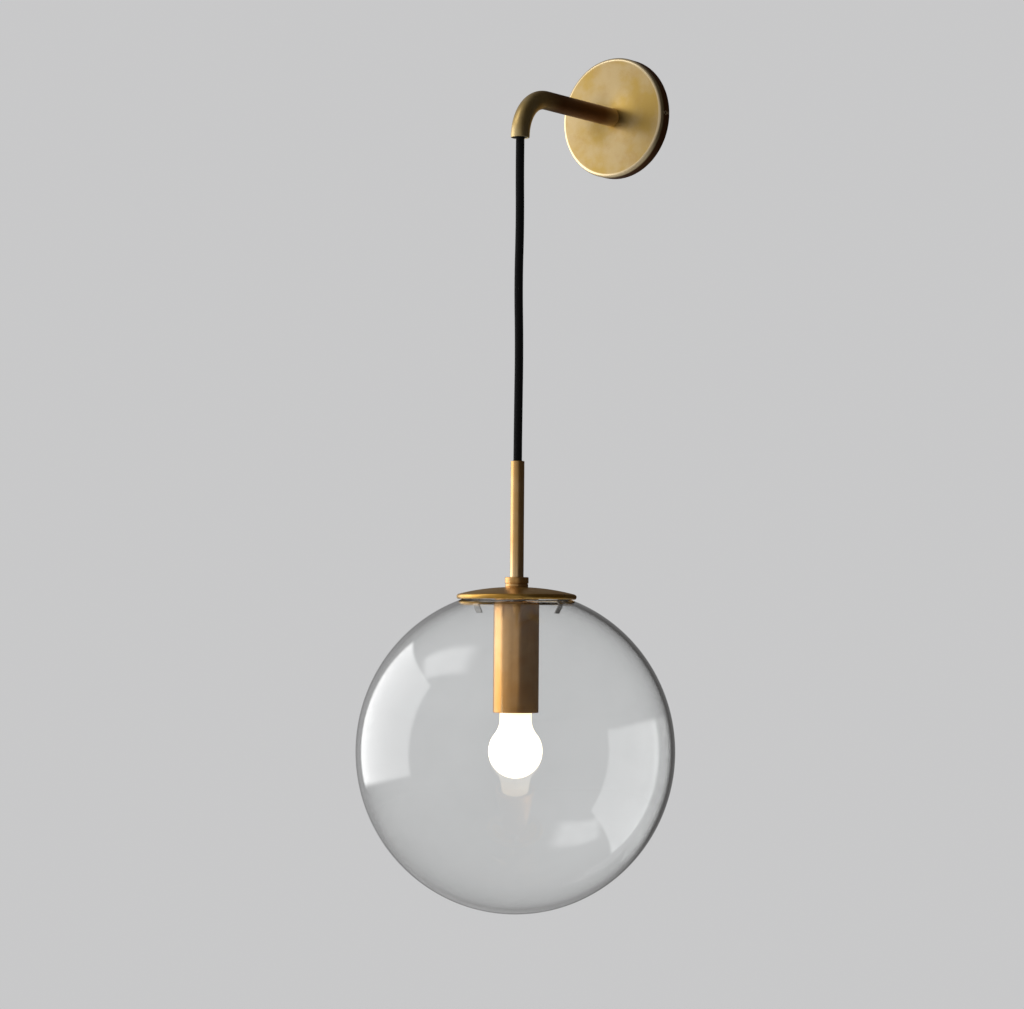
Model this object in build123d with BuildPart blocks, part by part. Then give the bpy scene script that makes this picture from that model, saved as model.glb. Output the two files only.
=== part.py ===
from build123d import *

import os
from math import acos, asin, cos, degrees, radians, sin, sqrt

os.makedirs("parts", exist_ok=True)

# Globe wall light, millimetres.
# The wall is the plane Y = 0 and the light stands out from it towards -Y, with Z up.
# The origin is the middle of the wall bracket, on the wall. The arm leaves it along -Y at Z = 0,
# turns down, and everything below its mouth hangs on one vertical line, the lamp axis.

# ---------------------------------------------------------------- driving dimensions
# canopy, bracket and arm
CANOPY_RADIUS = 50.0
CANOPY_DEPTH = 12.0
CANOPY_WALL = 1.5
CANOPY_RIM_ROUND = 3.0
ARM_RADIUS = 7.5
ARM_WALL = 1.2
ARM_REACH = 139.0  # wall to lamp axis
ARM_BEND = 34.5
MOUTH_Z = -35.0
BRACKET_THICK = 1.5
BRACKET_HALF_LENGTH = 45.5
BRACKET_WIDTH = 20.0
BRACKET_RING_RADIUS = 18.0
BRACKET_HOLE_RADIUS = 10.5
WALL_SLOT_SPACING = 60.0
WALL_SLOT_LENGTH = 10.0
WALL_SLOT_WIDTH = 4.6
TAB_REACH = 8.0
TAB_WIDTH = 16.0
SIDE_SCREW_DEPTH = 5.0  # distance of the canopy's side screws from the wall
SIDE_SCREW_RADIUS = 2.0
EARTH_SCREW_Z = -14.2
EARTH_SCREW_RADIUS = 2.0

# hanging cord and the ball-shaped flexing points at its two ends
CORD_RADIUS = 3.4
FLEX_RADIUS = 3.5
FLEX_CLEARANCE = 0.05
FLEX_DROP = 0.6  # how far the flexing point lies outside the mouth that the cord leaves

# pendant, heights on the lamp axis
STEM_TOP_Z = -293.0
COLLAR_TOP_Z = -385.0
CAP_TOP_Z = -393.0
CAP_RIM_TOP_Z = -398.6
CAP_RIM_BOTTOM_Z = -402.5
STEM_RADIUS = 5.4
STEM_WALL = 1.0
COLLAR_RADIUS = 9.4
CAP_RADIUS = 47.5
CAP_WALL = 1.2
CUP_RADIUS = 18.0
CUP_WALL = 1.2
CUP_TOP_Z = -405.0
CUP_BOTTOM_Z = -491.8

# glass globe, blown a little taller than it is wide
GLOBE_RADIUS = 126.0
GLOBE_HALF_HEIGHT = 127.5
GLOBE_CENTRE_Z = -522.4
GLOBE_WALL = 2.8
GLOBE_FLOOR = 2.4
NECK_RADIUS = 42.0
NECK_INNER_RADIUS = 39.0
NECK_TOP_Z = -400.7

# bulb and its holder, Edison screw 27
BULB_RADIUS = 21.4
BULB_CENTRE_Z = -522.2
BULB_NECK_RADIUS = 12.6
BULB_GLASS_TOP_Z = -490.6
BULB_THREAD_TOP_Z = -467.0
BULB_TIP_Z = -463.0
THREAD_CREST = 13.1
THREAD_ROOT = 12.3
THREAD_PITCH = 3.62
HOLDER_RADIUS = 16.0
HOLDER_TOP_Z = -438.0
HOLDER_SPLIT_Z = -452.0
HOLDER_BOTTOM_Z = -489.0

# M10 hollow threaded rod, its nuts and washers
ROD_RADIUS = 5.0
ROD_BORE = 3.9
ROD_HOLE = ROD_RADIUS + 0.05  # plain hole that the rod passes through
NUT_FLATS = 14.0
NUT_THICK = 3.5
WASHER_THICK = 0.8
WASHER_RADIUS = 8.0
WASHER_TEETH = 12
TOOTH_GAP = (2.4, 1.1)  # notch between two teeth: radial length, width
WIRE_RADIUS = 0.9

# ---------------------------------------------------------------- planes and axes that the parts share
LAMP_PLANE = Plane.XZ.offset(ARM_REACH)  # upright plane through the lamp axis, parallel to the wall
LAMP_AXIS = Axis((0, -ARM_REACH, 0), (0, 0, 1))
CANOPY_BACK = Plane.XZ
CANOPY_INNER_FACE = Plane.XZ.offset(CANOPY_DEPTH - CANOPY_WALL)


def lamp_level(z):
    """Level plane across the lamp axis at height z."""
    return Plane(origin=(0, -ARM_REACH, z), x_dir=(1, 0, 0), z_dir=(0, 0, 1))


def radial_plane(bearing):
    """Upright plane through the lamp axis; the bearing turns from -Y towards +X, in degrees."""
    outward = (sin(radians(bearing)), -cos(radians(bearing)), 0)
    sideways = (-cos(radians(bearing)), -sin(radians(bearing)), 0)
    return Plane(origin=(0, -ARM_REACH, 0), x_dir=outward, z_dir=sideways)


def save(part, name):
    """Label a finished sub-part and write it."""
    part.label = name
    export_step(part, f"parts/{name}.step")


# ================================================================ wall bracket
with BuildPart() as wall_bracket:
    with BuildSketch(CANOPY_BACK):
        Rectangle(2 * BRACKET_HALF_LENGTH, BRACKET_WIDTH)
        Circle(BRACKET_RING_RADIUS)
        Circle(BRACKET_HOLE_RADIUS, mode=Mode.SUBTRACT)
        with GridLocations(WALL_SLOT_SPACING, 0, 2, 1):
            SlotOverall(WALL_SLOT_LENGTH, WALL_SLOT_WIDTH, mode=Mode.SUBTRACT)
    extrude(amount=BRACKET_THICK)
    # the ends turn forward into tabs for the canopy's two side screws
    tab_middle = BRACKET_HALF_LENGTH - BRACKET_THICK / 2
    with BuildSketch(CANOPY_BACK):
        with GridLocations(2 * tab_middle, 0, 2, 1):
            Rectangle(BRACKET_THICK, TAB_WIDTH)
    extrude(amount=TAB_REACH)
    with BuildSketch(Plane.YZ):
        with Locations((-SIDE_SCREW_DEPTH, 0)):
            Circle(SIDE_SCREW_RADIUS)
    extrude(amount=BRACKET_HALF_LENGTH, both=True, mode=Mode.SUBTRACT)
    with BuildSketch(CANOPY_BACK):
        with Locations((0, EARTH_SCREW_Z)):
            Circle(EARTH_SCREW_RADIUS)
    extrude(amount=BRACKET_THICK, mode=Mode.SUBTRACT)
save(wall_bracket.part, "wall_bracket")

# earth screw with its cup washer, for the building's earth wire
EARTH_HEAD_RADIUS = 3.6
EARTH_HEAD_THICK = 2.2
EARTH_HEAD_ROUND = 0.8
EARTH_SLOT_WIDTH = 0.9
EARTH_SLOT_DEPTH = 1.0
with BuildPart() as earth_screw:
    with BuildSketch(CANOPY_BACK):
        with Locations((0, EARTH_SCREW_Z)):
            Circle(EARTH_SCREW_RADIUS)
    extrude(amount=BRACKET_THICK + WASHER_THICK)
    with BuildSketch(Plane.XZ.offset(BRACKET_THICK + WASHER_THICK)):
        with Locations((0, EARTH_SCREW_Z)):
            Circle(EARTH_HEAD_RADIUS)
    extrude(amount=EARTH_HEAD_THICK)
    head_front = earth_screw.faces().sort_by(Axis.Y)[0]
    fillet(head_front.edges(), EARTH_HEAD_ROUND)
    with BuildSketch(Plane.XZ.offset(BRACKET_THICK + WASHER_THICK + EARTH_HEAD_THICK)):
        with Locations((0, EARTH_SCREW_Z)):
            Rectangle(3 * EARTH_HEAD_RADIUS, EARTH_SLOT_WIDTH)
    extrude(amount=-EARTH_SLOT_DEPTH, mode=Mode.SUBTRACT)
save(earth_screw.part, "earth_screw")

with BuildPart() as earth_washer:
    with BuildSketch(Plane.XZ.offset(BRACKET_THICK)):
        with Locations((0, EARTH_SCREW_Z)):
            Circle(EARTH_HEAD_RADIUS + 0.5)
            Circle(EARTH_SCREW_RADIUS + 0.05, mode=Mode.SUBTRACT)
    extrude(amount=WASHER_THICK)
save(earth_washer.part, "earth_washer")

# ================================================================ canopy
SIDE_HOLE_RADIUS = SIDE_SCREW_RADIUS + 0.1
with BuildPart() as canopy:
    with BuildSketch(CANOPY_BACK):
        Circle(CANOPY_RADIUS)
    extrude(amount=CANOPY_DEPTH)
    canopy_front = canopy.faces().sort_by(Axis.Y)[0]
    fillet(canopy_front.edges(), CANOPY_RIM_ROUND)
    canopy_open_side = canopy.faces().sort_by(Axis.Y)[-1]
    offset(amount=-CANOPY_WALL, openings=canopy_open_side)
    with BuildSketch(CANOPY_BACK):
        Circle(ROD_HOLE)
    extrude(amount=CANOPY_DEPTH, mode=Mode.SUBTRACT)
    with BuildSketch(Plane.YZ):
        with Locations((-SIDE_SCREW_DEPTH, 0)):
            Circle(SIDE_HOLE_RADIUS)
    extrude(amount=CANOPY_RADIUS, both=True, mode=Mode.SUBTRACT)
save(canopy.part, "canopy")

# two headless side screws that hold the canopy to the bracket's tabs
SIDE_SCREW_TIP = 42.5
SIDE_SCREW_END = 49.6
HEX_KEY_RADIUS = 1.15
HEX_KEY_DEPTH = 2.0
with BuildPart() as canopy_screws:
    for side in (-1, 1):
        with BuildSketch(Plane.YZ.offset(side * SIDE_SCREW_TIP)):
            with Locations((-SIDE_SCREW_DEPTH, 0)):
                Circle(SIDE_SCREW_RADIUS)
        extrude(amount=side * (SIDE_SCREW_END - SIDE_SCREW_TIP))
        with BuildSketch(Plane.YZ.offset(side * SIDE_SCREW_END)):
            with Locations((-SIDE_SCREW_DEPTH, 0)):
                RegularPolygon(HEX_KEY_RADIUS, 6)
        extrude(amount=-side * HEX_KEY_DEPTH, mode=Mode.SUBTRACT)
save(canopy_screws.part, "canopy_screws")

# ================================================================ arm
ARM_BORE = ARM_RADIUS - ARM_WALL
with BuildPart() as arm_tube:
    with BuildLine(Plane.YZ) as arm_line:
        FilletPolyline((-CANOPY_DEPTH, 0), (-ARM_REACH, 0), (-ARM_REACH, MOUTH_Z), radius=ARM_BEND)
    with BuildSketch(Plane.XZ.offset(CANOPY_DEPTH)):
        Circle(ARM_RADIUS)
        Circle(ARM_BORE, mode=Mode.SUBTRACT)
    sweep(path=arm_line.wires()[0])
save(arm_tube.part, "arm_tube")

# threaded plug brazed into the arm's wall end, with a shoulder that the cord's collar pulls against
PLUG_DEPTH = 22.0
PLUG_SHOULDER = 2.0
CORD_HOLE = CORD_RADIUS + 0.3
with BuildPart() as arm_plug:
    with BuildSketch(Plane.XZ.offset(CANOPY_DEPTH)):
        Circle(ARM_BORE)
        Circle(ROD_RADIUS, mode=Mode.SUBTRACT)
    extrude(amount=PLUG_DEPTH - PLUG_SHOULDER)
    with BuildSketch(Plane.XZ.offset(CANOPY_DEPTH + PLUG_DEPTH - PLUG_SHOULDER)):
        Circle(ARM_BORE)
        Circle(CORD_HOLE, mode=Mode.SUBTRACT)
    extrude(amount=PLUG_SHOULDER)
save(arm_plug.part, "arm_plug")

# hollow rod through the canopy, its tooth washer and nut
ARM_ROD_START = 5.5  # distance of the rod's back end from the wall
ARM_ROD_LENGTH = 21.0
ROD_END_CHAMFER = 0.5
with BuildPart() as arm_rod:
    with BuildSketch(Plane.XZ.offset(ARM_ROD_START)):
        Circle(ROD_RADIUS)
        Circle(ROD_BORE, mode=Mode.SUBTRACT)
    extrude(amount=ARM_ROD_LENGTH)
    rod_back_edge = arm_rod.faces().sort_by(Axis.Y)[-1].edges().sort_by(SortBy.LENGTH)[-1]
    chamfer(rod_back_edge, ROD_END_CHAMFER)
save(arm_rod.part, "arm_rod")

with BuildPart() as arm_tooth_washer:
    with BuildSketch(CANOPY_INNER_FACE):
        Circle(WASHER_RADIUS)
        with PolarLocations(WASHER_RADIUS, WASHER_TEETH):
            Rectangle(*TOOTH_GAP, mode=Mode.SUBTRACT)
        Circle(ROD_HOLE, mode=Mode.SUBTRACT)
    extrude(amount=-WASHER_THICK)
save(arm_tooth_washer.part, "arm_tooth_washer")

with BuildPart() as arm_nut:
    with BuildSketch(Plane.XZ.offset(CANOPY_DEPTH - CANOPY_WALL - WASHER_THICK)):
        RegularPolygon(NUT_FLATS / 2, 6, major_radius=False)
        Circle(ROD_RADIUS, mode=Mode.SUBTRACT)
    extrude(amount=-NUT_THICK)
save(arm_nut.part, "arm_nut")

# collar clamped on the cord behind the plug's shoulder: it carries the pendant's weight
COLLAR_LENGTH = 4.0
collar_face = CANOPY_DEPTH + PLUG_DEPTH - PLUG_SHOULDER
with BuildPart() as arm_cord_collar:
    with BuildSketch(Plane.XZ.offset(collar_face)):
        Circle(ROD_RADIUS - 0.1)
        Circle(CORD_RADIUS, mode=Mode.SUBTRACT)
    extrude(amount=-COLLAR_LENGTH)
save(arm_cord_collar.part, "arm_cord_collar")

# nylon bush in the end of the arm's bend, set back a little from the mouth
BUSH_LENGTH = 3.4
BUSH_LIP_ROUND = 0.6
FLEX_HOLE = 4.1
with BuildPart() as mouth_bush:
    with BuildLine(Plane.YZ) as bush_line:
        CenterArc((ARM_BEND - ARM_REACH, -ARM_BEND), ARM_BEND, 180, -degrees(asin(BUSH_LENGTH / ARM_BEND)))
    with BuildSketch(lamp_level(-ARM_BEND)):
        Circle(ARM_BORE)
        Circle(FLEX_HOLE, mode=Mode.SUBTRACT)
    sweep(path=bush_line.wires()[0])
    bush_lip = mouth_bush.faces().sort_by(Axis.Z)[0].edges().sort_by(SortBy.LENGTH)[0]
    fillet(bush_lip, BUSH_LIP_ROUND)
save(mouth_bush.part, "mouth_bush")

# ================================================================ cord
TOP_FLEX_Z = MOUTH_Z - FLEX_DROP
BOTTOM_FLEX_Z = STEM_TOP_Z + FLEX_DROP
FLEX_SOCKET = FLEX_RADIUS + FLEX_CLEARANCE
SHEATH_END = 27.0  # distance from the wall at which the cord's sheath ends

# the stretch inside the arm; its end is cupped round the upper flexing point
with BuildPart() as cord_in_arm:
    with BuildLine(Plane.YZ) as cord_line:
        FilletPolyline((-SHEATH_END, 0), (-ARM_REACH, 0), (-ARM_REACH, TOP_FLEX_Z), radius=ARM_BEND)
    with BuildSketch(Plane.XZ.offset(SHEATH_END)):
        Circle(CORD_RADIUS)
    sweep(path=cord_line.wires()[0])
    with Locations((0, -ARM_REACH, TOP_FLEX_Z)):
        Sphere(FLEX_SOCKET, mode=Mode.SUBTRACT)
save(cord_in_arm.part, "cord_in_arm")

# the free stretch, pulled straight by the lamp's weight
with BuildPart() as pendant_cord:
    with BuildSketch(lamp_level(TOP_FLEX_Z)):
        Circle(CORD_RADIUS)
    extrude(amount=BOTTOM_FLEX_Z - TOP_FLEX_Z)
    with Locations((0, -ARM_REACH, TOP_FLEX_Z), (0, -ARM_REACH, BOTTOM_FLEX_Z)):
        Sphere(FLEX_SOCKET, mode=Mode.SUBTRACT)
save(pendant_cord.part, "pendant_cord")

for flex_name, flex_z in (("cord_flex_top", TOP_FLEX_Z), ("cord_flex_bottom", BOTTOM_FLEX_Z)):
    with BuildPart() as cord_flex:
        with Locations((0, -ARM_REACH, flex_z)):
            Sphere(FLEX_RADIUS)
    save(cord_flex.part, flex_name)

# the stretch inside the stem, as far as the bulb holder
INNER_SHEATH_END_Z = -446.0
with BuildPart() as cord_in_stem:
    with BuildSketch(lamp_level(BOTTOM_FLEX_Z)):
        Circle(CORD_RADIUS)
    extrude(amount=INNER_SHEATH_END_Z - BOTTOM_FLEX_Z)
    with Locations((0, -ARM_REACH, BOTTOM_FLEX_Z)):
        Sphere(FLEX_SOCKET, mode=Mode.SUBTRACT)
save(cord_in_stem.part, "cord_in_stem")

# live and neutral wires in the canopy, from the sheath's end to their connectors
WIRE_SPREAD = 1.3
WIRE_DEPTH = 2.9  # distance of the wires from the wall where they cross the bracket
WIRE_SLANT_TOP_Z = 11.0  # height at which the wires turn straight up
WIRE_BENDS = [2.3, 7.0]
CONNECTOR_X = 8.0
CONNECTOR_Z = 21.0
for wire_name, side in (("live_wire", -1), ("neutral_wire", 1)):
    with BuildPart() as canopy_wire:
        with BuildLine() as wire_line:
            FilletPolyline(
                (side * WIRE_SPREAD, -SHEATH_END, 0),
                (side * WIRE_SPREAD, -WIRE_DEPTH, 0),
                (side * CONNECTOR_X, -WIRE_DEPTH, WIRE_SLANT_TOP_Z),
                (side * CONNECTOR_X, -WIRE_DEPTH, CONNECTOR_Z),
                radius=WIRE_BENDS,
            )
        with BuildSketch(Plane.XZ.offset(SHEATH_END)):
            with Locations((side * WIRE_SPREAD, 0)):
                Circle(WIRE_RADIUS)
        sweep(path=wire_line.wires()[0])
    save(canopy_wire.part, wire_name)

# two push-in wire connectors
CONNECTOR_SIZE = (9.0, 15.0, 5.8)  # width, length, thickness
CONNECTOR_GAP = 1.3  # between the connectors and the wall
CONNECTOR_ROUND = 1.0
PORT_RADIUS = 1.3
PORT_DEPTH = 9.0
with BuildPart() as wire_connectors:
    with BuildSketch(Plane.XZ.offset(CONNECTOR_GAP)):
        with Locations((0, CONNECTOR_Z + CONNECTOR_SIZE[1] / 2)):
            with GridLocations(2 * CONNECTOR_X, 0, 2, 1):
                Rectangle(CONNECTOR_SIZE[0], CONNECTOR_SIZE[1])
    extrude(amount=CONNECTOR_SIZE[2])
    fillet(wire_connectors.edges().filter_by(Axis.Y), CONNECTOR_ROUND)
    # the free ports for the building's wires, in the far end
    with BuildSketch(Plane.XY.offset(CONNECTOR_Z + CONNECTOR_SIZE[1])):
        with Locations((0, -CONNECTOR_GAP - CONNECTOR_SIZE[2] / 2)):
            with GridLocations(2 * CONNECTOR_X, 0, 2, 1):
                Circle(PORT_RADIUS)
    extrude(amount=-PORT_DEPTH, mode=Mode.SUBTRACT)
save(wire_connectors.part, "wire_connectors")

# ================================================================ stem and collar
STEM_BORE = STEM_RADIUS - STEM_WALL
STEM_BOTTOM_Z = COLLAR_TOP_Z - 3.5
STEM_TOP_CHAMFER = 0.4
with BuildPart() as stem_tube:
    with BuildSketch(lamp_level(STEM_TOP_Z)):
        Circle(STEM_RADIUS)
        Circle(STEM_BORE, mode=Mode.SUBTRACT)
    extrude(amount=STEM_BOTTOM_Z - STEM_TOP_Z)
    stem_top_edge = stem_tube.faces().sort_by(Axis.Z)[-1].edges().sort_by(SortBy.LENGTH)[-1]
    chamfer(stem_top_edge, STEM_TOP_CHAMFER)
save(stem_tube.part, "stem_tube")

STEM_BUSH_LENGTH = 9.0
STEM_BUSH_SET_BACK = 0.3
with BuildPart() as stem_bush:
    with BuildSketch(lamp_level(STEM_TOP_Z - STEM_BUSH_SET_BACK)):
        Circle(STEM_BORE)
        Circle(CORD_HOLE, mode=Mode.SUBTRACT)
    extrude(amount=-STEM_BUSH_LENGTH)
save(stem_bush.part, "stem_bush")

with BuildPart() as stem_cord_collar:
    with BuildSketch(lamp_level(STEM_TOP_Z - STEM_BUSH_SET_BACK - STEM_BUSH_LENGTH)):
        Circle(STEM_BORE - 0.1)
        Circle(CORD_RADIUS, mode=Mode.SUBTRACT)
    extrude(amount=-COLLAR_LENGTH)
save(stem_cord_collar.part, "stem_cord_collar")

COLLAR_STEP_Z = -390.1
COLLAR_LOWER_RADIUS = 9.1
COLLAR_CHAMFER = 0.6
COLLAR_SCREW_BEARING = 18.0
COLLAR_SCREW_Z = -387.2
COLLAR_SCREW_RADIUS = 1.25
screw_direction = (sin(radians(COLLAR_SCREW_BEARING)), -cos(radians(COLLAR_SCREW_BEARING)), 0)
screw_plane = Plane(origin=(0, -ARM_REACH, COLLAR_SCREW_Z), z_dir=screw_direction)
with BuildPart() as stem_collar:
    with BuildSketch(LAMP_PLANE):
        with BuildLine():
            Polyline(
                (ROD_RADIUS, CAP_TOP_Z),
                (COLLAR_LOWER_RADIUS - COLLAR_CHAMFER, CAP_TOP_Z),
                (COLLAR_LOWER_RADIUS, CAP_TOP_Z + COLLAR_CHAMFER),
                (COLLAR_LOWER_RADIUS, COLLAR_STEP_Z - COLLAR_CHAMFER),
                (COLLAR_LOWER_RADIUS - COLLAR_CHAMFER, COLLAR_STEP_Z),
                (COLLAR_RADIUS, COLLAR_STEP_Z),
                (COLLAR_RADIUS, COLLAR_TOP_Z - COLLAR_CHAMFER),
                (COLLAR_RADIUS - COLLAR_CHAMFER, COLLAR_TOP_Z),
                (STEM_RADIUS, COLLAR_TOP_Z),
                (STEM_RADIUS, STEM_BOTTOM_Z),
                (ROD_RADIUS, STEM_BOTTOM_Z),
                close=True,
            )
        make_face()
    revolve(axis=LAMP_AXIS)
    with BuildSketch(screw_plane):
        Circle(COLLAR_SCREW_RADIUS)
    extrude(amount=COLLAR_RADIUS + 1, mode=Mode.SUBTRACT)
save(stem_collar.part, "stem_collar")

# headless screw that locks the stem in the collar
COLLAR_SCREW_START = STEM_RADIUS + 0.35
COLLAR_SCREW_LENGTH = 2.9
COLLAR_KEY_RADIUS = 0.75
COLLAR_KEY_DEPTH = 1.4
with BuildPart() as collar_screw:
    with BuildSketch(screw_plane.offset(COLLAR_SCREW_START)):
        Circle(COLLAR_SCREW_RADIUS)
    extrude(amount=COLLAR_SCREW_LENGTH)
    with BuildSketch(screw_plane.offset(COLLAR_SCREW_START + COLLAR_SCREW_LENGTH)):
        RegularPolygon(COLLAR_KEY_RADIUS, 6)
    extrude(amount=-COLLAR_KEY_DEPTH, mode=Mode.SUBTRACT)
save(collar_screw.part, "collar_screw")

# ================================================================ cap over the globe
CAP_FLAT_RADIUS = 9.2
CAP_EDGE_ROUND = 0.6
dome_rise = CAP_TOP_Z - CAP_RIM_TOP_Z
dome_run = CAP_RADIUS - CAP_EDGE_ROUND - CAP_FLAT_RADIUS
dome_middle_r = CAP_FLAT_RADIUS + dome_run * 0.55
dome_middle_z = CAP_TOP_Z - dome_rise * 0.36
with BuildPart() as cap:
    with BuildSketch(LAMP_PLANE):
        with BuildLine():
            Line((ROD_HOLE, CAP_TOP_Z), (CAP_FLAT_RADIUS, CAP_TOP_Z))
            ThreePointArc(
                (CAP_FLAT_RADIUS, CAP_TOP_Z),
                (dome_middle_r, dome_middle_z),
                (CAP_RADIUS - CAP_EDGE_ROUND, CAP_RIM_TOP_Z),
            )
            Polyline(
                (CAP_RADIUS - CAP_EDGE_ROUND, CAP_RIM_TOP_Z),
                (CAP_RADIUS, CAP_RIM_TOP_Z - CAP_EDGE_ROUND),
                (CAP_RADIUS, CAP_RIM_BOTTOM_Z + CAP_EDGE_ROUND),
                (CAP_RADIUS - CAP_EDGE_ROUND, CAP_RIM_BOTTOM_Z),
                (CAP_RADIUS - CAP_WALL, CAP_RIM_BOTTOM_Z),
                (CAP_RADIUS - CAP_WALL, CAP_RIM_TOP_Z - CAP_WALL),
            )
            ThreePointArc(
                (CAP_RADIUS - CAP_WALL, CAP_RIM_TOP_Z - CAP_WALL),
                (dome_middle_r, dome_middle_z - CAP_WALL),
                (CAP_FLAT_RADIUS, CAP_TOP_Z - CAP_WALL),
            )
            Polyline(
                (CAP_FLAT_RADIUS, CAP_TOP_Z - CAP_WALL),
                (ROD_HOLE, CAP_TOP_Z - CAP_WALL),
                (ROD_HOLE, CAP_TOP_Z),
            )
        make_face()
    revolve(axis=LAMP_AXIS)
save(cap.part, "cap")

# hollow rod that runs from the collar down to the bulb holder
MAIN_ROD_BOTTOM_Z = -444.0
with BuildPart() as main_rod:
    with BuildSketch(lamp_level(STEM_BOTTOM_Z)):
        Circle(ROD_RADIUS)
        Circle(ROD_BORE, mode=Mode.SUBTRACT)
    extrude(amount=MAIN_ROD_BOTTOM_Z - STEM_BOTTOM_Z)
save(main_rod.part, "main_rod")

# under the cap, in order: spacer, three-legged spring, tooth washer, nut
SPRING_TOP_Z = -398.2
SPRING_THICK = 0.8
CAP_SPACER_RADIUS = 9.0
with BuildPart() as cap_spacer:
    with BuildSketch(lamp_level(CAP_TOP_Z - CAP_WALL)):
        Circle(CAP_SPACER_RADIUS)
        Circle(ROD_HOLE, mode=Mode.SUBTRACT)
    extrude(amount=SPRING_TOP_Z - (CAP_TOP_Z - CAP_WALL))
save(cap_spacer.part, "cap_spacer")

SPRING_BEARINGS = (-19.0, 101.0, 221.0)
SPRING_LEG_WIDTH = 8.0
SPRING_HUB_RADIUS = 13.0
LEG_ROOT_RADIUS = 10.0  # a leg starts inside the hub
LEG_BEND_RADIUS = 36.2  # where a leg turns down, from the lamp axis
LEG_CREST_RADIUS = NECK_INNER_RADIUS - 0.8  # middle of the strip where it presses on the glass neck
LEG_FOOT_RADIUS = 35.05
LEG_BEND_DROP, LEG_CREST_DROP, LEG_FOOT_DROP = 4.0, 8.9, 15.0  # below the hub
spring_middle_z = SPRING_TOP_Z - SPRING_THICK / 2
with BuildPart() as globe_spring:
    with BuildSketch(lamp_level(SPRING_TOP_Z)):
        Circle(SPRING_HUB_RADIUS)
    extrude(amount=-SPRING_THICK)
    for bearing in SPRING_BEARINGS:
        # a leg is a bent strip: its middle line, thickened by half a strip on each side
        with BuildSketch(radial_plane(bearing)):
            with BuildLine():
                Polyline(
                    (LEG_ROOT_RADIUS, spring_middle_z),
                    (LEG_BEND_RADIUS, spring_middle_z),
                    (LEG_BEND_RADIUS, spring_middle_z - LEG_BEND_DROP),
                    (LEG_CREST_RADIUS, spring_middle_z - LEG_CREST_DROP),
                    (LEG_FOOT_RADIUS, spring_middle_z - LEG_FOOT_DROP),
                )
                offset(amount=SPRING_THICK / 2, side=Side.BOTH)
            make_face()
        extrude(amount=SPRING_LEG_WIDTH / 2, both=True)
    with BuildSketch(lamp_level(SPRING_TOP_Z)):
        Circle(ROD_HOLE)
    extrude(amount=-SPRING_THICK, mode=Mode.SUBTRACT)
save(globe_spring.part, "globe_spring")

washer_top_z = SPRING_TOP_Z - SPRING_THICK
with BuildPart() as cap_tooth_washer:
    with BuildSketch(lamp_level(washer_top_z)):
        Circle(WASHER_RADIUS)
        with PolarLocations(WASHER_RADIUS, WASHER_TEETH):
            Rectangle(*TOOTH_GAP, mode=Mode.SUBTRACT)
        Circle(ROD_HOLE, mode=Mode.SUBTRACT)
    extrude(amount=-WASHER_THICK)
save(cap_tooth_washer.part, "cap_tooth_washer")

cap_nut_top_z = washer_top_z - WASHER_THICK
CUP_NUT_TOP_Z = CUP_TOP_Z - CUP_WALL
for nut_name, nut_top_z in (("cap_nut", cap_nut_top_z), ("cup_nut", CUP_NUT_TOP_Z)):
    with BuildPart() as rod_nut:
        with BuildSketch(lamp_level(nut_top_z)):
            RegularPolygon(NUT_FLATS / 2, 6, major_radius=False)
            Circle(ROD_RADIUS, mode=Mode.SUBTRACT)
        extrude(amount=-NUT_THICK)
    save(rod_nut.part, nut_name)

# ================================================================ cup round the bulb holder
CUP_BORE = CUP_RADIUS - CUP_WALL
CUP_TOP_ROUND = 1.0
with BuildPart() as socket_cup:
    with BuildSketch(lamp_level(CUP_BOTTOM_Z)):
        Circle(CUP_RADIUS)
    extrude(amount=CUP_TOP_Z - CUP_BOTTOM_Z)
    fillet(socket_cup.faces().sort_by(Axis.Z)[-1].edges(), CUP_TOP_ROUND)
    with BuildSketch(lamp_level(CUP_BOTTOM_Z)):
        Circle(CUP_BORE)
    extrude(amount=CUP_TOP_Z - CUP_WALL - CUP_BOTTOM_Z, mode=Mode.SUBTRACT)
    with BuildSketch(lamp_level(CUP_TOP_Z)):
        Circle(ROD_HOLE)
    extrude(amount=-CUP_WALL, mode=Mode.SUBTRACT)
save(socket_cup.part, "socket_cup")

# ================================================================ bulb holder
HOLDER_WALL = 2.2
HOLDER_INNER_STEP = 0.6
HOLDER_NECK_RADIUS = 8.0
HOLDER_NECK_END_Z = HOLDER_TOP_Z - 3
HOLDER_SHOULDER_Z = HOLDER_TOP_Z - 8
HOLDER_ROOF_Z = HOLDER_TOP_Z - 6  # underside of the threaded neck, inside the cap
HOLDER_FLOOR_TOP_Z = -456.0
HOLDER_FLOOR_BOTTOM_Z = -462.0
with BuildPart() as holder_cap:
    with BuildSketch(LAMP_PLANE):
        with BuildLine():
            Polyline(
                (ROD_RADIUS, HOLDER_TOP_Z),
                (HOLDER_NECK_RADIUS, HOLDER_TOP_Z),
                (HOLDER_NECK_RADIUS, HOLDER_NECK_END_Z),
                (HOLDER_RADIUS, HOLDER_SHOULDER_Z),
                (HOLDER_RADIUS, HOLDER_SPLIT_Z),
                (HOLDER_RADIUS - HOLDER_WALL, HOLDER_SPLIT_Z),
                (HOLDER_RADIUS - HOLDER_WALL, HOLDER_SHOULDER_Z - HOLDER_INNER_STEP),
                (HOLDER_NECK_RADIUS, HOLDER_ROOF_Z),
                (ROD_RADIUS, HOLDER_ROOF_Z),
                close=True,
            )
        make_face()
    revolve(axis=LAMP_AXIS)
save(holder_cap.part, "holder_cap")

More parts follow.
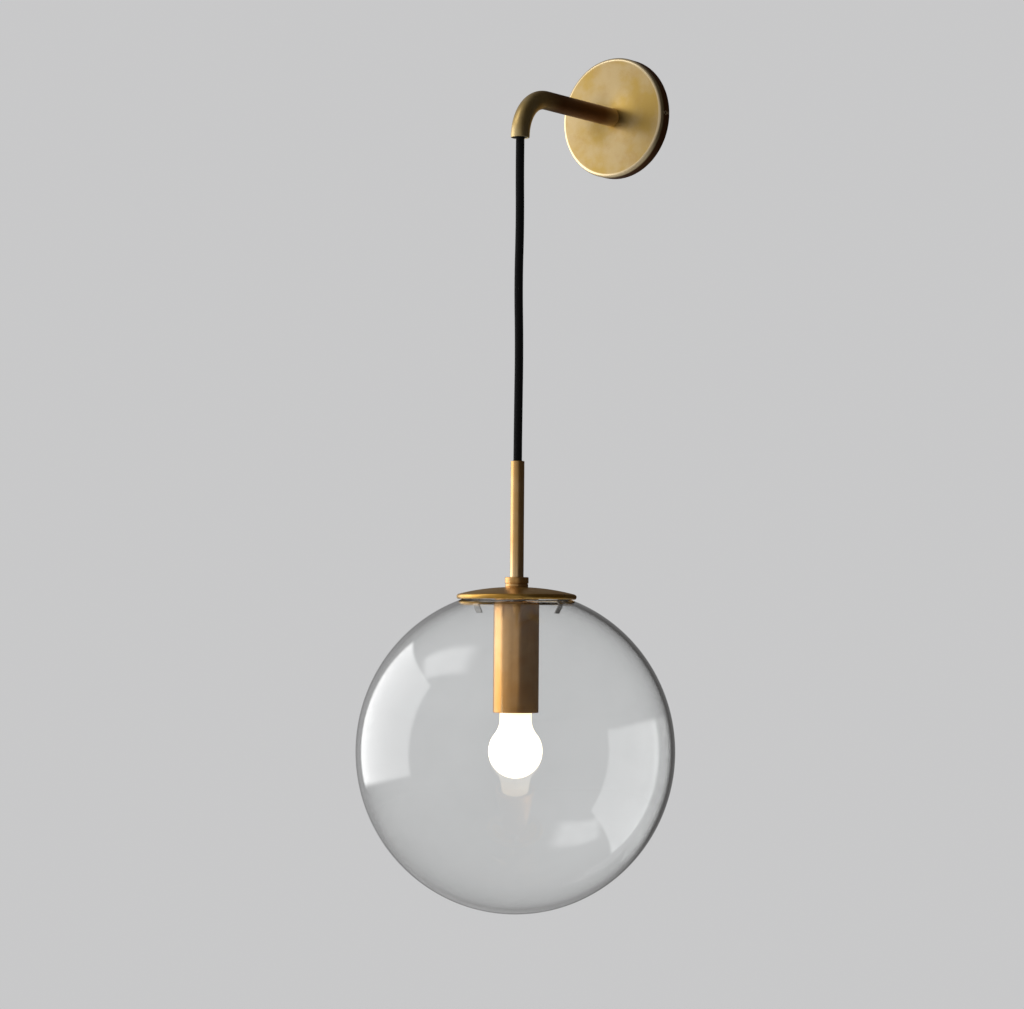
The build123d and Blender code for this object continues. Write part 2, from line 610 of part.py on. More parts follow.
SHELL_OUTER = HOLDER_RADIUS - HOLDER_WALL
SHELL_INNER = SHELL_OUTER - 0.35
SHELL_TOP_Z = -464.0
SHELL_BOTTOM_Z = -487.5
SIDE_CONTACT_X = 10.5
CENTRE_RIVET_RADIUS = 1.5
SIDE_RIVET_RADIUS = 1.2
with BuildPart() as holder_body:
    with BuildSketch(lamp_level(HOLDER_BOTTOM_Z)):
        Circle(HOLDER_RADIUS)
        Circle(SHELL_OUTER, mode=Mode.SUBTRACT)
    extrude(amount=HOLDER_SPLIT_Z - HOLDER_BOTTOM_Z)
    with BuildSketch(lamp_level(HOLDER_FLOOR_BOTTOM_Z)):
        Circle(SHELL_OUTER)
        Circle(CENTRE_RIVET_RADIUS, mode=Mode.SUBTRACT)
        with Locations((SIDE_CONTACT_X, 0)):
            Circle(SIDE_RIVET_RADIUS, mode=Mode.SUBTRACT)
    extrude(amount=HOLDER_FLOOR_TOP_Z - HOLDER_FLOOR_BOTTOM_Z)
save(holder_body.part, "holder_body")

with BuildPart() as holder_shell:
    with BuildSketch(lamp_level(SHELL_BOTTOM_Z)):
        Circle(SHELL_OUTER)
        Circle(SHELL_INNER, mode=Mode.SUBTRACT)
    extrude(amount=SHELL_TOP_Z - SHELL_BOTTOM_Z)
save(holder_shell.part, "holder_shell")

# contacts: a leaf over the bulb's tip, and a foot that joins the threaded shell
CONTACT_HEAD_THICK = 1.5
CENTRE_HEAD_RADIUS = 3.0
SIDE_HEAD_RADIUS = 2.4
CONTACT_LEAF = (6.0, 15.0)  # width, length
CONTACT_LEAF_Z = BULB_TIP_Z + 0.2
SIDE_CONTACT_FOOT = (5.2, 3.0)  # length, width
with BuildPart() as centre_contact:
    with BuildSketch(lamp_level(CONTACT_LEAF_Z)):
        Rectangle(*CONTACT_LEAF)
    extrude(amount=HOLDER_FLOOR_BOTTOM_Z - CONTACT_LEAF_Z)
    with BuildSketch(lamp_level(HOLDER_FLOOR_BOTTOM_Z)):
        Circle(CENTRE_RIVET_RADIUS)
    extrude(amount=HOLDER_FLOOR_TOP_Z - HOLDER_FLOOR_BOTTOM_Z)
    with BuildSketch(lamp_level(HOLDER_FLOOR_TOP_Z)):
        Circle(CENTRE_HEAD_RADIUS)
    extrude(amount=CONTACT_HEAD_THICK)
save(centre_contact.part, "centre_contact")

with BuildPart() as side_contact:
    with BuildSketch(lamp_level(SHELL_TOP_Z)):
        with Locations((SHELL_OUTER - 0.1 - SIDE_CONTACT_FOOT[0] / 2, 0)):
            Rectangle(*SIDE_CONTACT_FOOT)
    extrude(amount=HOLDER_FLOOR_BOTTOM_Z - SHELL_TOP_Z)
    with BuildSketch(lamp_level(HOLDER_FLOOR_BOTTOM_Z)):
        with Locations((SIDE_CONTACT_X, 0)):
            Circle(SIDE_RIVET_RADIUS)
    extrude(amount=HOLDER_FLOOR_TOP_Z - HOLDER_FLOOR_BOTTOM_Z)
    with BuildSketch(lamp_level(HOLDER_FLOOR_TOP_Z)):
        with Locations((SIDE_CONTACT_X, 0)):
            Circle(SIDE_HEAD_RADIUS)
    extrude(amount=CONTACT_HEAD_THICK)
save(side_contact.part, "side_contact")

# the two wires inside the holder, from the sheath's end to the contacts
contact_head_z = HOLDER_FLOOR_TOP_Z + CONTACT_HEAD_THICK
WIRE_CROSSING_Z = -450.0  # height at which the neutral wire runs out to the side contact
HOLDER_WIRE_BEND = 2.0
with BuildPart() as holder_live_wire:
    with BuildSketch(lamp_level(INNER_SHEATH_END_Z)):
        with Locations((-WIRE_SPREAD, 0)):
            Circle(WIRE_RADIUS)
    extrude(amount=contact_head_z - INNER_SHEATH_END_Z)
save(holder_live_wire.part, "holder_live_wire")

with BuildPart() as holder_neutral_wire:
    with BuildLine(LAMP_PLANE) as holder_wire_line:
        FilletPolyline(
            (WIRE_SPREAD, INNER_SHEATH_END_Z),
            (WIRE_SPREAD, WIRE_CROSSING_Z + 0.4),
            (SIDE_CONTACT_X, WIRE_CROSSING_Z - 0.4),
            (SIDE_CONTACT_X, contact_head_z),
            radius=HOLDER_WIRE_BEND,
        )
    with BuildSketch(lamp_level(INNER_SHEATH_END_Z)):
        with Locations((WIRE_SPREAD, 0)):
            Circle(WIRE_RADIUS)
    sweep(path=holder_wire_line.wires()[0])
save(holder_neutral_wire.part, "holder_neutral_wire")

# ================================================================ glass globe and its gasket
NECK_RIM_ROUND = 0.9
SHOULDER_ROUND = 1.6
inner_radius = GLOBE_RADIUS - GLOBE_WALL
inner_half_height = GLOBE_HALF_HEIGHT - GLOBE_WALL
floor_z = GLOBE_CENTRE_Z - GLOBE_HALF_HEIGHT + GLOBE_FLOOR
inner_centre_z = floor_z + inner_half_height
shoulder_angle = degrees(acos(NECK_RADIUS / GLOBE_RADIUS))
inner_shoulder_angle = degrees(acos(NECK_INNER_RADIUS / inner_radius))
shoulder_z = GLOBE_CENTRE_Z + GLOBE_HALF_HEIGHT * sin(radians(shoulder_angle))
inner_shoulder_z = inner_centre_z + inner_half_height * sin(radians(inner_shoulder_angle))
with BuildPart() as globe_glass:
    with BuildSketch(LAMP_PLANE):
        with BuildLine():
            EllipticalCenterArc(
                (0, GLOBE_CENTRE_Z), GLOBE_RADIUS, GLOBE_HALF_HEIGHT,
                start_angle=-90, arc_size=90 + shoulder_angle,
            )
            Polyline(
                (NECK_RADIUS, shoulder_z),
                (NECK_RADIUS, NECK_TOP_Z),
                (NECK_INNER_RADIUS, NECK_TOP_Z),
                (NECK_INNER_RADIUS, inner_shoulder_z),
            )
            EllipticalCenterArc(
                (0, inner_centre_z), inner_radius, inner_half_height,
                start_angle=-90, arc_size=90 + inner_shoulder_angle,
            )
            Line((0, floor_z), (0, GLOBE_CENTRE_Z - GLOBE_HALF_HEIGHT))
        make_face()
    revolve(axis=LAMP_AXIS)
    neck_rim = globe_glass.faces().sort_by(Axis.Z)[-1]
    fillet(neck_rim.edges(), NECK_RIM_ROUND)
    shoulder_edge = globe_glass.edges().filter_by(GeomType.CIRCLE).filter_by(
        lambda edge: abs(edge.radius - NECK_RADIUS) < 0.01 and abs(edge.center().Z - shoulder_z) < 0.01
    )
    fillet(shoulder_edge, SHOULDER_ROUND)
save(globe_glass.part, "globe_glass")

GASKET_THICK = 1.2
GASKET_OVERHANG = 0.8
with BuildPart() as globe_gasket:
    with BuildSketch(lamp_level(NECK_TOP_Z)):
        Circle(NECK_RADIUS + GASKET_OVERHANG)
        Circle(NECK_INNER_RADIUS, mode=Mode.SUBTRACT)
    extrude(amount=GASKET_THICK)
save(globe_gasket.part, "globe_gasket")

# ================================================================ bulb
BULB_WALL = 0.8
BULB_FLARE_TOP_Z = -499.0
BULB_FLARE_R = 16.8
BULB_FLARE_MIDDLE = (BULB_NECK_RADIUS + 1.1, BULB_FLARE_TOP_Z - 4.6)
flare_z = BULB_CENTRE_Z + sqrt(BULB_RADIUS**2 - BULB_FLARE_R**2)
inner_flare_r = BULB_FLARE_R - BULB_WALL
inner_bulb_radius = BULB_RADIUS - BULB_WALL
inner_flare_z = BULB_CENTRE_Z + sqrt(inner_bulb_radius**2 - inner_flare_r**2)
with BuildPart() as bulb_glass:
    with BuildSketch(LAMP_PLANE):
        with BuildLine():
            ThreePointArc(
                (0, BULB_CENTRE_Z - BULB_RADIUS),
                (BULB_RADIUS, BULB_CENTRE_Z),
                (BULB_FLARE_R, flare_z),
            )
            ThreePointArc(
                (BULB_FLARE_R, flare_z),
                BULB_FLARE_MIDDLE,
                (BULB_NECK_RADIUS, BULB_FLARE_TOP_Z),
            )
            Polyline(
                (BULB_NECK_RADIUS, BULB_FLARE_TOP_Z),
                (BULB_NECK_RADIUS, BULB_GLASS_TOP_Z),
                (BULB_NECK_RADIUS - BULB_WALL, BULB_GLASS_TOP_Z),
                (BULB_NECK_RADIUS - BULB_WALL, BULB_FLARE_TOP_Z),
            )
            ThreePointArc(
                (BULB_NECK_RADIUS - BULB_WALL, BULB_FLARE_TOP_Z),
                (BULB_FLARE_MIDDLE[0] - BULB_WALL, BULB_FLARE_MIDDLE[1]),
                (inner_flare_r, inner_flare_z),
            )
            ThreePointArc(
                (inner_flare_r, inner_flare_z),
                (inner_bulb_radius, BULB_CENTRE_Z),
                (0, BULB_CENTRE_Z - inner_bulb_radius),
            )
            Line((0, BULB_CENTRE_Z - inner_bulb_radius), (0, BULB_CENTRE_Z - BULB_RADIUS))
        make_face()
    revolve(axis=LAMP_AXIS)
save(bulb_glass.part, "bulb_glass")

# screw shell of the bulb: rings stand for the thread, so that it can be tested turning and travelling
BULB_THREAD_BOTTOM_Z = BULB_GLASS_TOP_Z + 2.2
SHELL_METAL = 0.4
SHELL_LIP = 0.6  # height of the slope between the shell's plain edge and its thread
TURNS = 6
FIRST_TURN_RISE = 0.25
TURN_SPACING = 0.95 * THREAD_PITCH
CREST_START, CREST_END, TURN_END = 1.1, 1.9, 3.0  # heights in one turn of the thread
with BuildPart() as bulb_shell:
    with BuildSketch(LAMP_PLANE):
        with BuildLine():
            outer_wave = [(THREAD_ROOT, BULB_THREAD_BOTTOM_Z)]
            for turn in range(TURNS):
                turn_z = BULB_THREAD_BOTTOM_Z + FIRST_TURN_RISE + turn * TURN_SPACING
                outer_wave.append((THREAD_CREST, turn_z + CREST_START))
                outer_wave.append((THREAD_CREST, turn_z + CREST_END))
                outer_wave.append((THREAD_ROOT, turn_z + TURN_END))
            outer_wave.append((THREAD_ROOT, BULB_THREAD_TOP_Z))
            Polyline(
                (BULB_NECK_RADIUS, BULB_GLASS_TOP_Z),
                (THREAD_CREST, BULB_GLASS_TOP_Z),
                (THREAD_CREST, BULB_THREAD_BOTTOM_Z - SHELL_LIP),
                *outer_wave,
                (THREAD_ROOT - SHELL_METAL, BULB_THREAD_TOP_Z),
                (THREAD_ROOT - SHELL_METAL, BULB_GLASS_TOP_Z),
                close=True,
            )
        make_face()
    revolve(axis=LAMP_AXIS)
save(bulb_shell.part, "bulb_shell")

TIP_RADIUS = 4.6
TIP_THICK = 1.2
TIP_STUB_RADIUS = 1.5
TIP_STUB_LENGTH = 2.0
STUB_GAP = 0.05
TIP_ROUND = 0.7
INSULATOR_INSET = 1.5  # how far the insulator reaches into the screw shell
INSULATOR_END_RADIUS = 5.6
with BuildPart() as bulb_insulator:
    with BuildSketch(LAMP_PLANE):
        with BuildLine():
            Polyline(
                (TIP_STUB_RADIUS + STUB_GAP, BULB_TIP_Z - TIP_THICK),
                (INSULATOR_END_RADIUS, BULB_TIP_Z - TIP_THICK),
                (THREAD_ROOT, BULB_THREAD_TOP_Z),
                (THREAD_ROOT - SHELL_METAL, BULB_THREAD_TOP_Z),
                (THREAD_ROOT - SHELL_METAL, BULB_THREAD_TOP_Z - INSULATOR_INSET),
                (TIP_STUB_RADIUS + STUB_GAP, BULB_THREAD_TOP_Z - INSULATOR_INSET),
                close=True,
            )
        make_face()
    revolve(axis=LAMP_AXIS)
save(bulb_insulator.part, "bulb_insulator")

with BuildPart() as bulb_tip:
    with BuildSketch(lamp_level(BULB_TIP_Z - TIP_THICK)):
        Circle(TIP_RADIUS)
    extrude(amount=TIP_THICK)
    fillet(bulb_tip.faces().sort_by(Axis.Z)[-1].edges(), TIP_ROUND)
    with BuildSketch(lamp_level(BULB_TIP_Z - TIP_THICK)):
        Circle(TIP_STUB_RADIUS)
    extrude(amount=-TIP_STUB_LENGTH)
save(bulb_tip.part, "bulb_tip")

# inside the opal bulb: a glass post with four upright light-emitting rods round it
POST_RADIUS = 2.6
ROD_CIRCLE = 7.0
LIGHT_ROD_RADIUS = 0.9
LIGHT_ROD_TOP_Z = -505.0
LIGHT_ROD_LENGTH = 30.0
POST_PLATE_THICK = 1.2
with BuildPart() as bulb_post:
    with BuildSketch(lamp_level(BULB_GLASS_TOP_Z)):
        Circle(BULB_NECK_RADIUS - BULB_WALL)
    extrude(amount=POST_PLATE_THICK)
    with BuildSketch(lamp_level(LIGHT_ROD_TOP_Z)):
        Circle(POST_RADIUS)
    extrude(amount=BULB_GLASS_TOP_Z - LIGHT_ROD_TOP_Z)
    with BuildSketch(lamp_level(LIGHT_ROD_TOP_Z)):
        Circle(ROD_CIRCLE + LIGHT_ROD_RADIUS)
    extrude(amount=POST_PLATE_THICK)
save(bulb_post.part, "bulb_post")

with BuildPart() as light_rods:
    with BuildSketch(lamp_level(LIGHT_ROD_TOP_Z)):
        with PolarLocations(ROD_CIRCLE, 4):
            Circle(LIGHT_ROD_RADIUS)
    extrude(amount=-LIGHT_ROD_LENGTH)
save(light_rods.part, "light_rods")
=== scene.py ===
"""Looks of the globe wall sconce, in metres, in the frame of its CAD model."""

import logging
import math
from dataclasses import dataclass
from enum import Enum
from functools import cache
from typing import Iterable, Union

import bmesh
import bpy
from bmesh.types import BMEdge, BMesh, BMVert
from bpy.types import Material, Object
from mathutils import Matrix, Vector


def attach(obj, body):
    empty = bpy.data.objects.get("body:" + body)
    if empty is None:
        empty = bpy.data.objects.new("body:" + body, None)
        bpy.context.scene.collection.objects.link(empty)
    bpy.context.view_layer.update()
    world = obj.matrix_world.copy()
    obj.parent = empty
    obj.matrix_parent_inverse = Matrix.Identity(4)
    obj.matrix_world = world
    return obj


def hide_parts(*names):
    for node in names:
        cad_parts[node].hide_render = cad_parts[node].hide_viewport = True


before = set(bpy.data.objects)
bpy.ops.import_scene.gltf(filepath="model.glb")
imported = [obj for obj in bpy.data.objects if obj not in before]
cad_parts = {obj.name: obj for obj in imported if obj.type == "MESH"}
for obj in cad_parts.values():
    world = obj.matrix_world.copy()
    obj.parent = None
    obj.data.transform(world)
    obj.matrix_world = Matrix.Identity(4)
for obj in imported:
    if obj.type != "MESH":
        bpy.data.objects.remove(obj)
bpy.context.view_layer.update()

MM = 0.001
NEAR = 1e-5  # metres within which two places are the same
REACH = -0.139  # where the lamp axis is, along Y
LAMP_AXIS = Vector((0.0, REACH, 0.0))
LOOP_SPACING = 30.0  # mm between extra rings on a long wall
OVAL_RUNS = 132  # straight runs in one side of the globe
SOFT_EDGE = (0.35, 0.7)  # noise between which one tone passes into the next
log = logging.getLogger("sconce")

Number = Union[float, "Signal"]
Point = tuple[float, float]
Place = tuple[float, float, float]
Colour = tuple[float, float, float]
Tint = Union[Colour, "Signal"]


# Shader graphs
class Signal:
    """An output of a node, on which Python's operators add Math nodes."""

    def __init__(self, graph: "Graph", socket: bpy.types.NodeSocket) -> None:
        """Wrap an output socket of a graph's node."""
        self.graph = graph
        self.socket = socket

    def _math(self, operation: str, *values: Number) -> "Signal":
        """Add a Math node with its inputs in order."""
        return self.graph.add("Math", dict(enumerate(values)), operation=operation)

    def __add__(self, other: Number) -> "Signal":
        """Add a value."""
        return self._math("ADD", self, other)

    def __radd__(self, other: Number) -> "Signal":
        """Add to a value."""
        return self._math("ADD", other, self)

    def __sub__(self, other: Number) -> "Signal":
        """Take a value away."""
        return self._math("SUBTRACT", self, other)

    def __rsub__(self, other: Number) -> "Signal":
        """Take this away from a value."""
        return self._math("SUBTRACT", other, self)

    def __mul__(self, other: Number) -> "Signal":
        """Multiply by a value."""
        return self._math("MULTIPLY", self, other)

    def __rmul__(self, other: Number) -> "Signal":
        """Multiply a value by this."""
        return self._math("MULTIPLY", other, self)

    def __pow__(self, power: Number) -> "Signal":
        """Raise to a power."""
        return self._math("POWER", self, power)

    def __abs__(self) -> "Signal":
        """Drop the sign."""
        return self._math("ABSOLUTE", self)

    def sine(self) -> "Signal":
        """Take the sine of an angle in radians."""
        return self._math("SINE", self)

    def angle_to(self, other: "Signal") -> "Signal":
        """Give the angle whose tangent is this over another value."""
        return self._math("ARCTAN2", self, other)

    def at_most(self, other: Number) -> "Signal":
        """Give the smaller of this and another value."""
        return self._math("MINIMUM", self, other)

    def at_least(self, other: Number) -> "Signal":
        """Give the larger of this and another value."""
        return self._math("MAXIMUM", self, other)

    def step(self, low: float, high: float) -> "Signal":
        """Rise smoothly from 0 at a low value to 1 at a high one."""
        inputs = {"Value": self, "From Min": low, "From Max": high}
        return self.graph.add("MapRange", inputs, interpolation_type="SMOOTHSTEP")


class Graph:
    """The node tree of a material, a world or a softbox, filled one node at a time."""

    def __init__(self, owner: bpy.types.ID) -> None:
        """Start with an empty tree.

        Args:
            owner: The material, world or softbox whose tree it is.
        """
        owner.use_nodes = True
        self.owner = owner
        self.tree = owner.node_tree
        self.tree.nodes.clear()

    def node(self, kind: str, inputs: dict, **settings: str) -> bpy.types.Node:
        """Add a node.

        Args:
            kind: The node's type name after ShaderNode.
            inputs: Values or signals by socket name or number.
            settings: Its properties, which are set first.

        Returns:
            The new node.
        """
        made = self.tree.nodes.new("ShaderNode" + kind)
        for name, value in settings.items():
            setattr(made, name, value)
        for name, value in inputs.items():
            if isinstance(value, Signal):
                self.tree.links.new(value.socket, made.inputs[name])
            else:
                made.inputs[name].default_value = value
        return made

    def add(self, kind: str, inputs: dict, output: Union[int, str] = 0, **settings: str) -> Signal:
        """Add a node and take one of its outputs."""
        return Signal(self, self.node(kind, inputs, **settings).outputs[output])

    def outputs(self, kind: str, inputs: dict, *names: Union[int, str]) -> tuple[Signal, ...]:
        """Add a node and take several of its outputs."""
        made = self.node(kind, inputs)
        return tuple(Signal(self, made.outputs[name]) for name in names)

    def mapped(self, vector: Signal, shift: Place = (0.0, 0.0, 0.0),
               scale: Place = (1.0, 1.0, 1.0)) -> Signal:
        """Scale coordinates and then shift them."""
        return self.add("Mapping", {0: vector, "Location": shift, "Scale": scale})

    def noise(self, vector: Signal, scale: float, detail: float = 3.0,
              roughness: float = 0.5) -> Signal:
        """Give smooth noise from 0 to 1, its scale in waves per metre."""
        inputs = {"Vector": vector, "Scale": scale, "Detail": detail, "Roughness": roughness}
        return self.add("TexNoise", inputs)

    def axes(self, vector: Signal) -> tuple[Signal, ...]:
        """Split coordinates into X, Y and Z."""
        return self.outputs("SeparateXYZ", {0: vector}, 0, 1, 2)

    def from_lamp_axis(self, place: Signal) -> tuple[Signal, ...]:
        """Split coordinates into X, Y and Z from the lamp axis."""
        return self.axes(self.mapped(place, tuple(-LAMP_AXIS)))

    def blend(self, factor: Number, first: Tint, second: Tint) -> Signal:
        """Mix two colours by the second one's share."""
        sides = [side if isinstance(side, Signal) else (*side, 1.0) for side in (first, second)]
        return self.add("Mix", {0: factor, 6: sides[0], 7: sides[1]}, 2, data_type="RGBA")

    def relief(self, height: Signal, distance: float, strength: float) -> Signal:
        """Turn heights into normals, 1 standing for a distance in metres."""
        inputs = {"Height": height, "Distance": distance, "Strength": strength}
        return self.add("Bump", inputs)

    def surface(self, shader: Signal) -> bpy.types.ID:
        """Send a shader to the output and give the tree's owner."""
        self.node("Output" + type(self.owner).__name__.removeprefix("Area"), {"Surface": shader})
        return self.owner

    def principled(self, inputs: dict) -> bpy.types.ID:
        """Send a Principled shader to the output and give the tree's owner."""
        return self.surface(self.add("BsdfPrincipled", inputs))


def new_material(name: str) -> tuple[Graph, Signal]:
    """Start a material and give its graph and the object's coordinates, in metres."""
    graph = Graph(bpy.data.materials.new(name))
    return graph, graph.add("TexCoord", {}, "Object")


# Finishes
class Grain(Enum):
    """Which way a metal's brush marks run."""

    UPRIGHT = (1.0, 1.0, 0.012)
    ALONG_ARM = (1.0, 0.04, 0.04)
    ACROSS_PLATE = (0.35, 1.0, 0.9)
    TURNED = (0.0, 0.0, 0.0)


@dataclass(frozen=True)
class AgedBrass:
    """Brushed brass that has been darkened and waxed, with optional painted shade towards the wall,
    a painted reflection of the bulb's glow and a rim brightened partly by a painted highlight.
    """

    name: str
    bright: Colour
    mellow: Colour
    brown: Colour
    grain: Grain
    roughness: float
    cloud_size: float
    tarnish: float
    marks: float
    # edge colour: wear on edges, and on the plate's rim partly a painted highlight
    worn: Colour = (0.95, 0.78, 0.50)
    wear: float = 0.6
    # radius of a rim ring that is brightened partly as wear and partly as a painted highlight
    polished_rim: float = 0.0
    rim_band: Point = (-0.0011, 0.0002)
    rim_depth: Point = (0.0080, 0.0105)
    # painted shade: between these two places along Y the colour darkens towards the wall to this
    # dark colour
    dark_from: Union[Point, None] = None
    dark: Colour = (0.17, 0.052, 0.013)
    # painted reflection of the bulb's warm glow, below a height along Z, in this colour
    heated_from: Union[Point, None] = None
    heated: Colour = (0.68, 0.31, 0.055)

    def brush_marks(self, graph: Graph, place: Signal) -> Signal:
        """Give the fine lines that the brush or the lathe left.

        Args:
            graph: The material's graph.
            place: Coordinates of the surface.

        Returns:
            Noise from 0 to 1.
        """
        if self.grain is Grain.TURNED:
            x, y, z = graph.from_lamp_axis(place)
            inputs = {0: (x * x + y * y) ** 0.5, 1: z * 0.2}
            return graph.noise(graph.add("CombineXYZ", inputs), 2600.0, 2.0, 0.6)
        return graph.noise(graph.mapped(place, scale=self.grain.value), 2200.0, 3.0, 0.6)

    def material(self) -> Material:
        """Build the material.

        Returns:
            The material.
        """
        graph, place = new_material(self.name)
        x, y, z = graph.axes(place)
        clouds = graph.noise(place, 1.0 / self.cloud_size, 4.0, 0.55)
        elsewhere = graph.mapped(place, (3.1, 1.7, 5.3))
        patches = graph.noise(elsewhere, 2.3 / self.cloud_size, 6.0, 0.62)
        freckles = graph.noise(place, 620.0, 2.0, 0.5).step(0.72, 0.80)
        brush = self.brush_marks(graph, place)
        edges = graph.add("NewGeometry", {}, "Pointiness").step(0.53, 0.62)
        # Brighter rim ring: partly polished wear, partly a painted highlight.
        if self.polished_rim:
            inner, outer = (self.polished_rim + reach for reach in self.rim_band)
            ring = ((x * x + z * z) ** 0.5).step(inner, outer)
            edges = edges.at_least(ring * (y * -1.0).step(*self.rim_depth))

        colour = graph.blend(clouds.step(0.36, 0.64), self.bright, self.mellow)
        stains = patches.step(0.50, 0.72) * self.tarnish
        lines = brush.step(0.42, 0.68) * (0.30 * self.marks)
        for share in (stains, lines, freckles * (0.4 * self.tarnish)):
            colour = graph.blend(share, colour, self.brown)
        # Painted shade, darker towards the wall along Y.
        if self.dark_from:
            colour = graph.blend(y.step(*self.dark_from) * 0.9, colour, self.dark)
        # Painted reflection of the bulb's warm glow on the end nearest the bulb.
        if self.heated_from:
            painted_glow_share = 1.0 - z.step(*self.heated_from)
            colour = graph.blend(painted_glow_share * (0.2 + patches * 0.6), colour, self.heated)
        # Edges brightened: wear, and on the plate's rim partly a painted highlight.
        colour = graph.blend(edges * self.wear, colour, self.worn)

        uneven = (patches - 0.5) * (0.3 * self.tarnish)
        roughness = self.roughness + uneven + (brush - 0.5) * (0.16 * self.marks) - edges * 0.08
        height = brush * (0.7 * self.marks) + patches * (0.4 * self.tarnish)
        return graph.principled({
            "Base Color": colour,
            "Metallic": 1.0,
            "Roughness": roughness.at_least(0.12).at_most(0.7),
            "Normal": graph.relief(height, 0.00004, 0.5),
        })


@dataclass(frozen=True)
class PlainMetal:
    """Plated or machined metal on the small fittings."""

    name: str
    colour: Colour
    shade: Colour
    roughness: float
    size: float = 0.004

    def material(self) -> Material:
        """Build the material.

        Returns:
            The material.
        """
        graph, place = new_material(self.name)
        bloom = graph.noise(place, 1.0 / self.size, 4.0, 0.6)
        scratches = graph.noise(graph.mapped(place, scale=(1.0, 0.15, 0.35)), 1800.0)
        return graph.principled({
            "Base Color": graph.blend(bloom.step(*SOFT_EDGE), self.colour, self.shade),
            "Metallic": 1.0,
            "Roughness": self.roughness + (bloom - 0.5) * 0.2 + (scratches - 0.5) * 0.1,
            "Normal": graph.relief(scratches, 0.00003, 0.5),
        })


@dataclass(frozen=True)
class Moulded:
    """Moulded plastic, rubber or wire insulation with a fine skin."""

    name: str
    colour: Colour
    shade: Colour
    roughness: float
    skin: float = 0.0006
    depth: float = 0.00004

    def material(self) -> Material:
        """Build the material.

        Returns:
            The material.
        """
        graph, place = new_material(self.name)
        skin = graph.noise(place, 1.0 / self.skin, 3.0, 0.55)
        flow = graph.noise(place, 90.0)
        return graph.principled({
            "Base Color": graph.blend(flow.step(*SOFT_EDGE), self.colour, self.shade),
            "Roughness": self.roughness + (flow - 0.5) * 0.15 + (skin - 0.5) * 0.08,
            "Normal": graph.relief(skin, self.depth, 0.6),
        })


@dataclass(frozen=True)
class WovenSleeve:
    """Braided fabric round the cord, in the cord's own angle and height."""

    name: str = "woven black sleeve"
    # painted light: the threads carry a painted highlight and the gaps between them painted shade
    thread: Colour = (0.007, 0.0065, 0.0065)
    gap: Colour = (0.0015, 0.0015, 0.0015)
    strands: int = 10
    rise: float = 900.0

    def material(self) -> Material:
        """Build the material.

        Returns:
            The material.
        """
        graph, place = new_material(self.name)
        x, y, z = graph.from_lamp_axis(place)
        turn = x.angle_to(y) * self.strands
        right = abs((turn + z * self.rise).sine())
        left = abs((turn - z * self.rise).sine())
        braid = right.at_least(left) * 0.7 + right.at_most(left) * 0.5
        fluff = graph.noise(place, 2600.0, 3.0, 0.6)
        # Painted highlight on the braid's threads, painted shade in its gaps.
        lit = braid.step(0.45, 1.0) * (0.6 + fluff * 0.5)
        return graph.principled({
            "Base Color": graph.blend(lit, self.gap, self.thread),
            "Roughness": 0.78 + (fluff - 0.5) * 0.2,
            "Specular IOR Level": 0.15,
            "Sheen Weight": 0.015,
            "Sheen Roughness": 0.5,
            "Normal": graph.relief(braid + fluff * 0.3, 0.00025, 0.8),
        })


@dataclass(frozen=True)
class ClearGlass:
    """Blown glass that lets the light of lamps through without a shadow."""

    name: str = "clear blown glass"
    tint: Colour = (0.985, 0.992, 0.990)
    dusty: Colour = (0.970, 0.978, 0.976)
    ior: float = 1.47
    shadow: Colour = (0.96, 0.97, 0.97)

    def material(self) -> Material:
        """Build the material.

        Returns:
            The material.
        """
        graph, place = new_material(self.name)
        drift = graph.noise(place, 16.0, 1.0, 0.4)
        film = graph.noise(place, 45.0, 5.0, 0.6)
        glass = graph.add("BsdfPrincipled", {
            "Base Color": graph.blend(film.step(0.45, 0.75), self.tint, self.dusty),
            "Roughness": 0.0,
            "Transmission Weight": 1.0,
            "IOR": self.ior,
            "Normal": graph.relief(drift, 0.0003, 0.12),
        })
        through = graph.add("BsdfTransparent", {"Color": (*self.shadow, 1.0)})
        lamps = graph.add("LightPath", {}, "Is Shadow Ray")
        return graph.surface(graph.add("MixShader", {0: lamps, 1: glass, 2: through}))


@dataclass(frozen=True)
class LitOpal:
    """White opal glass of the lit bulb, a little dimmer and warmer towards its neck."""

    name: str = "lit opal glass"
    glass: Colour = (0.93, 0.91, 0.86)
    milky: Colour = (0.97, 0.95, 0.92)
    glow: Colour = (1.0, 0.86, 0.64)
    neck_glow: Colour = (1.0, 0.74, 0.42)
    neck: Point = (-0.508, -0.491)
    strength: float = 1.9

    def material(self) -> Material:
        """Build the material.

        Returns:
            The material.
        """
        graph, place = new_material(self.name)
        height = graph.axes(place)[2]
        milk = graph.noise(place, 160.0)
        glow = graph.blend(height.step(*self.neck), self.glow, self.neck_glow)
        return graph.principled({
            "Base Color": graph.blend(milk, self.glass, self.milky),
            "Roughness": 0.22 + milk * 0.1,
            "Emission Color": graph.blend(milk.step(0.3, 0.8) * 0.12, glow, self.neck_glow),
            "Emission Strength": self.strength,
            "Normal": graph.relief(milk, 0.00005, 0.4),
        })


@dataclass(frozen=True)
class Glowing:
    """Phosphor coating of the rods inside the bulb."""

    name: str = "phosphor coating"
    colour: Colour = (0.95, 0.72, 0.22)
    pale: Colour = (1.0, 0.84, 0.42)
    strength: float = 2.0

    def material(self) -> Material:
        """Build the material.

        Returns:
            The material.
        """
        graph, place = new_material(self.name)
        grains = graph.noise(place, 1500.0, 3.0, 0.6)
        colour = graph.blend(grains, self.colour, self.pale)
        return graph.principled({
            "Base Color": colour,
            "Roughness": 0.6 + grains * 0.2,
            "Emission Color": colour,
            "Emission Strength": self.strength,
        })


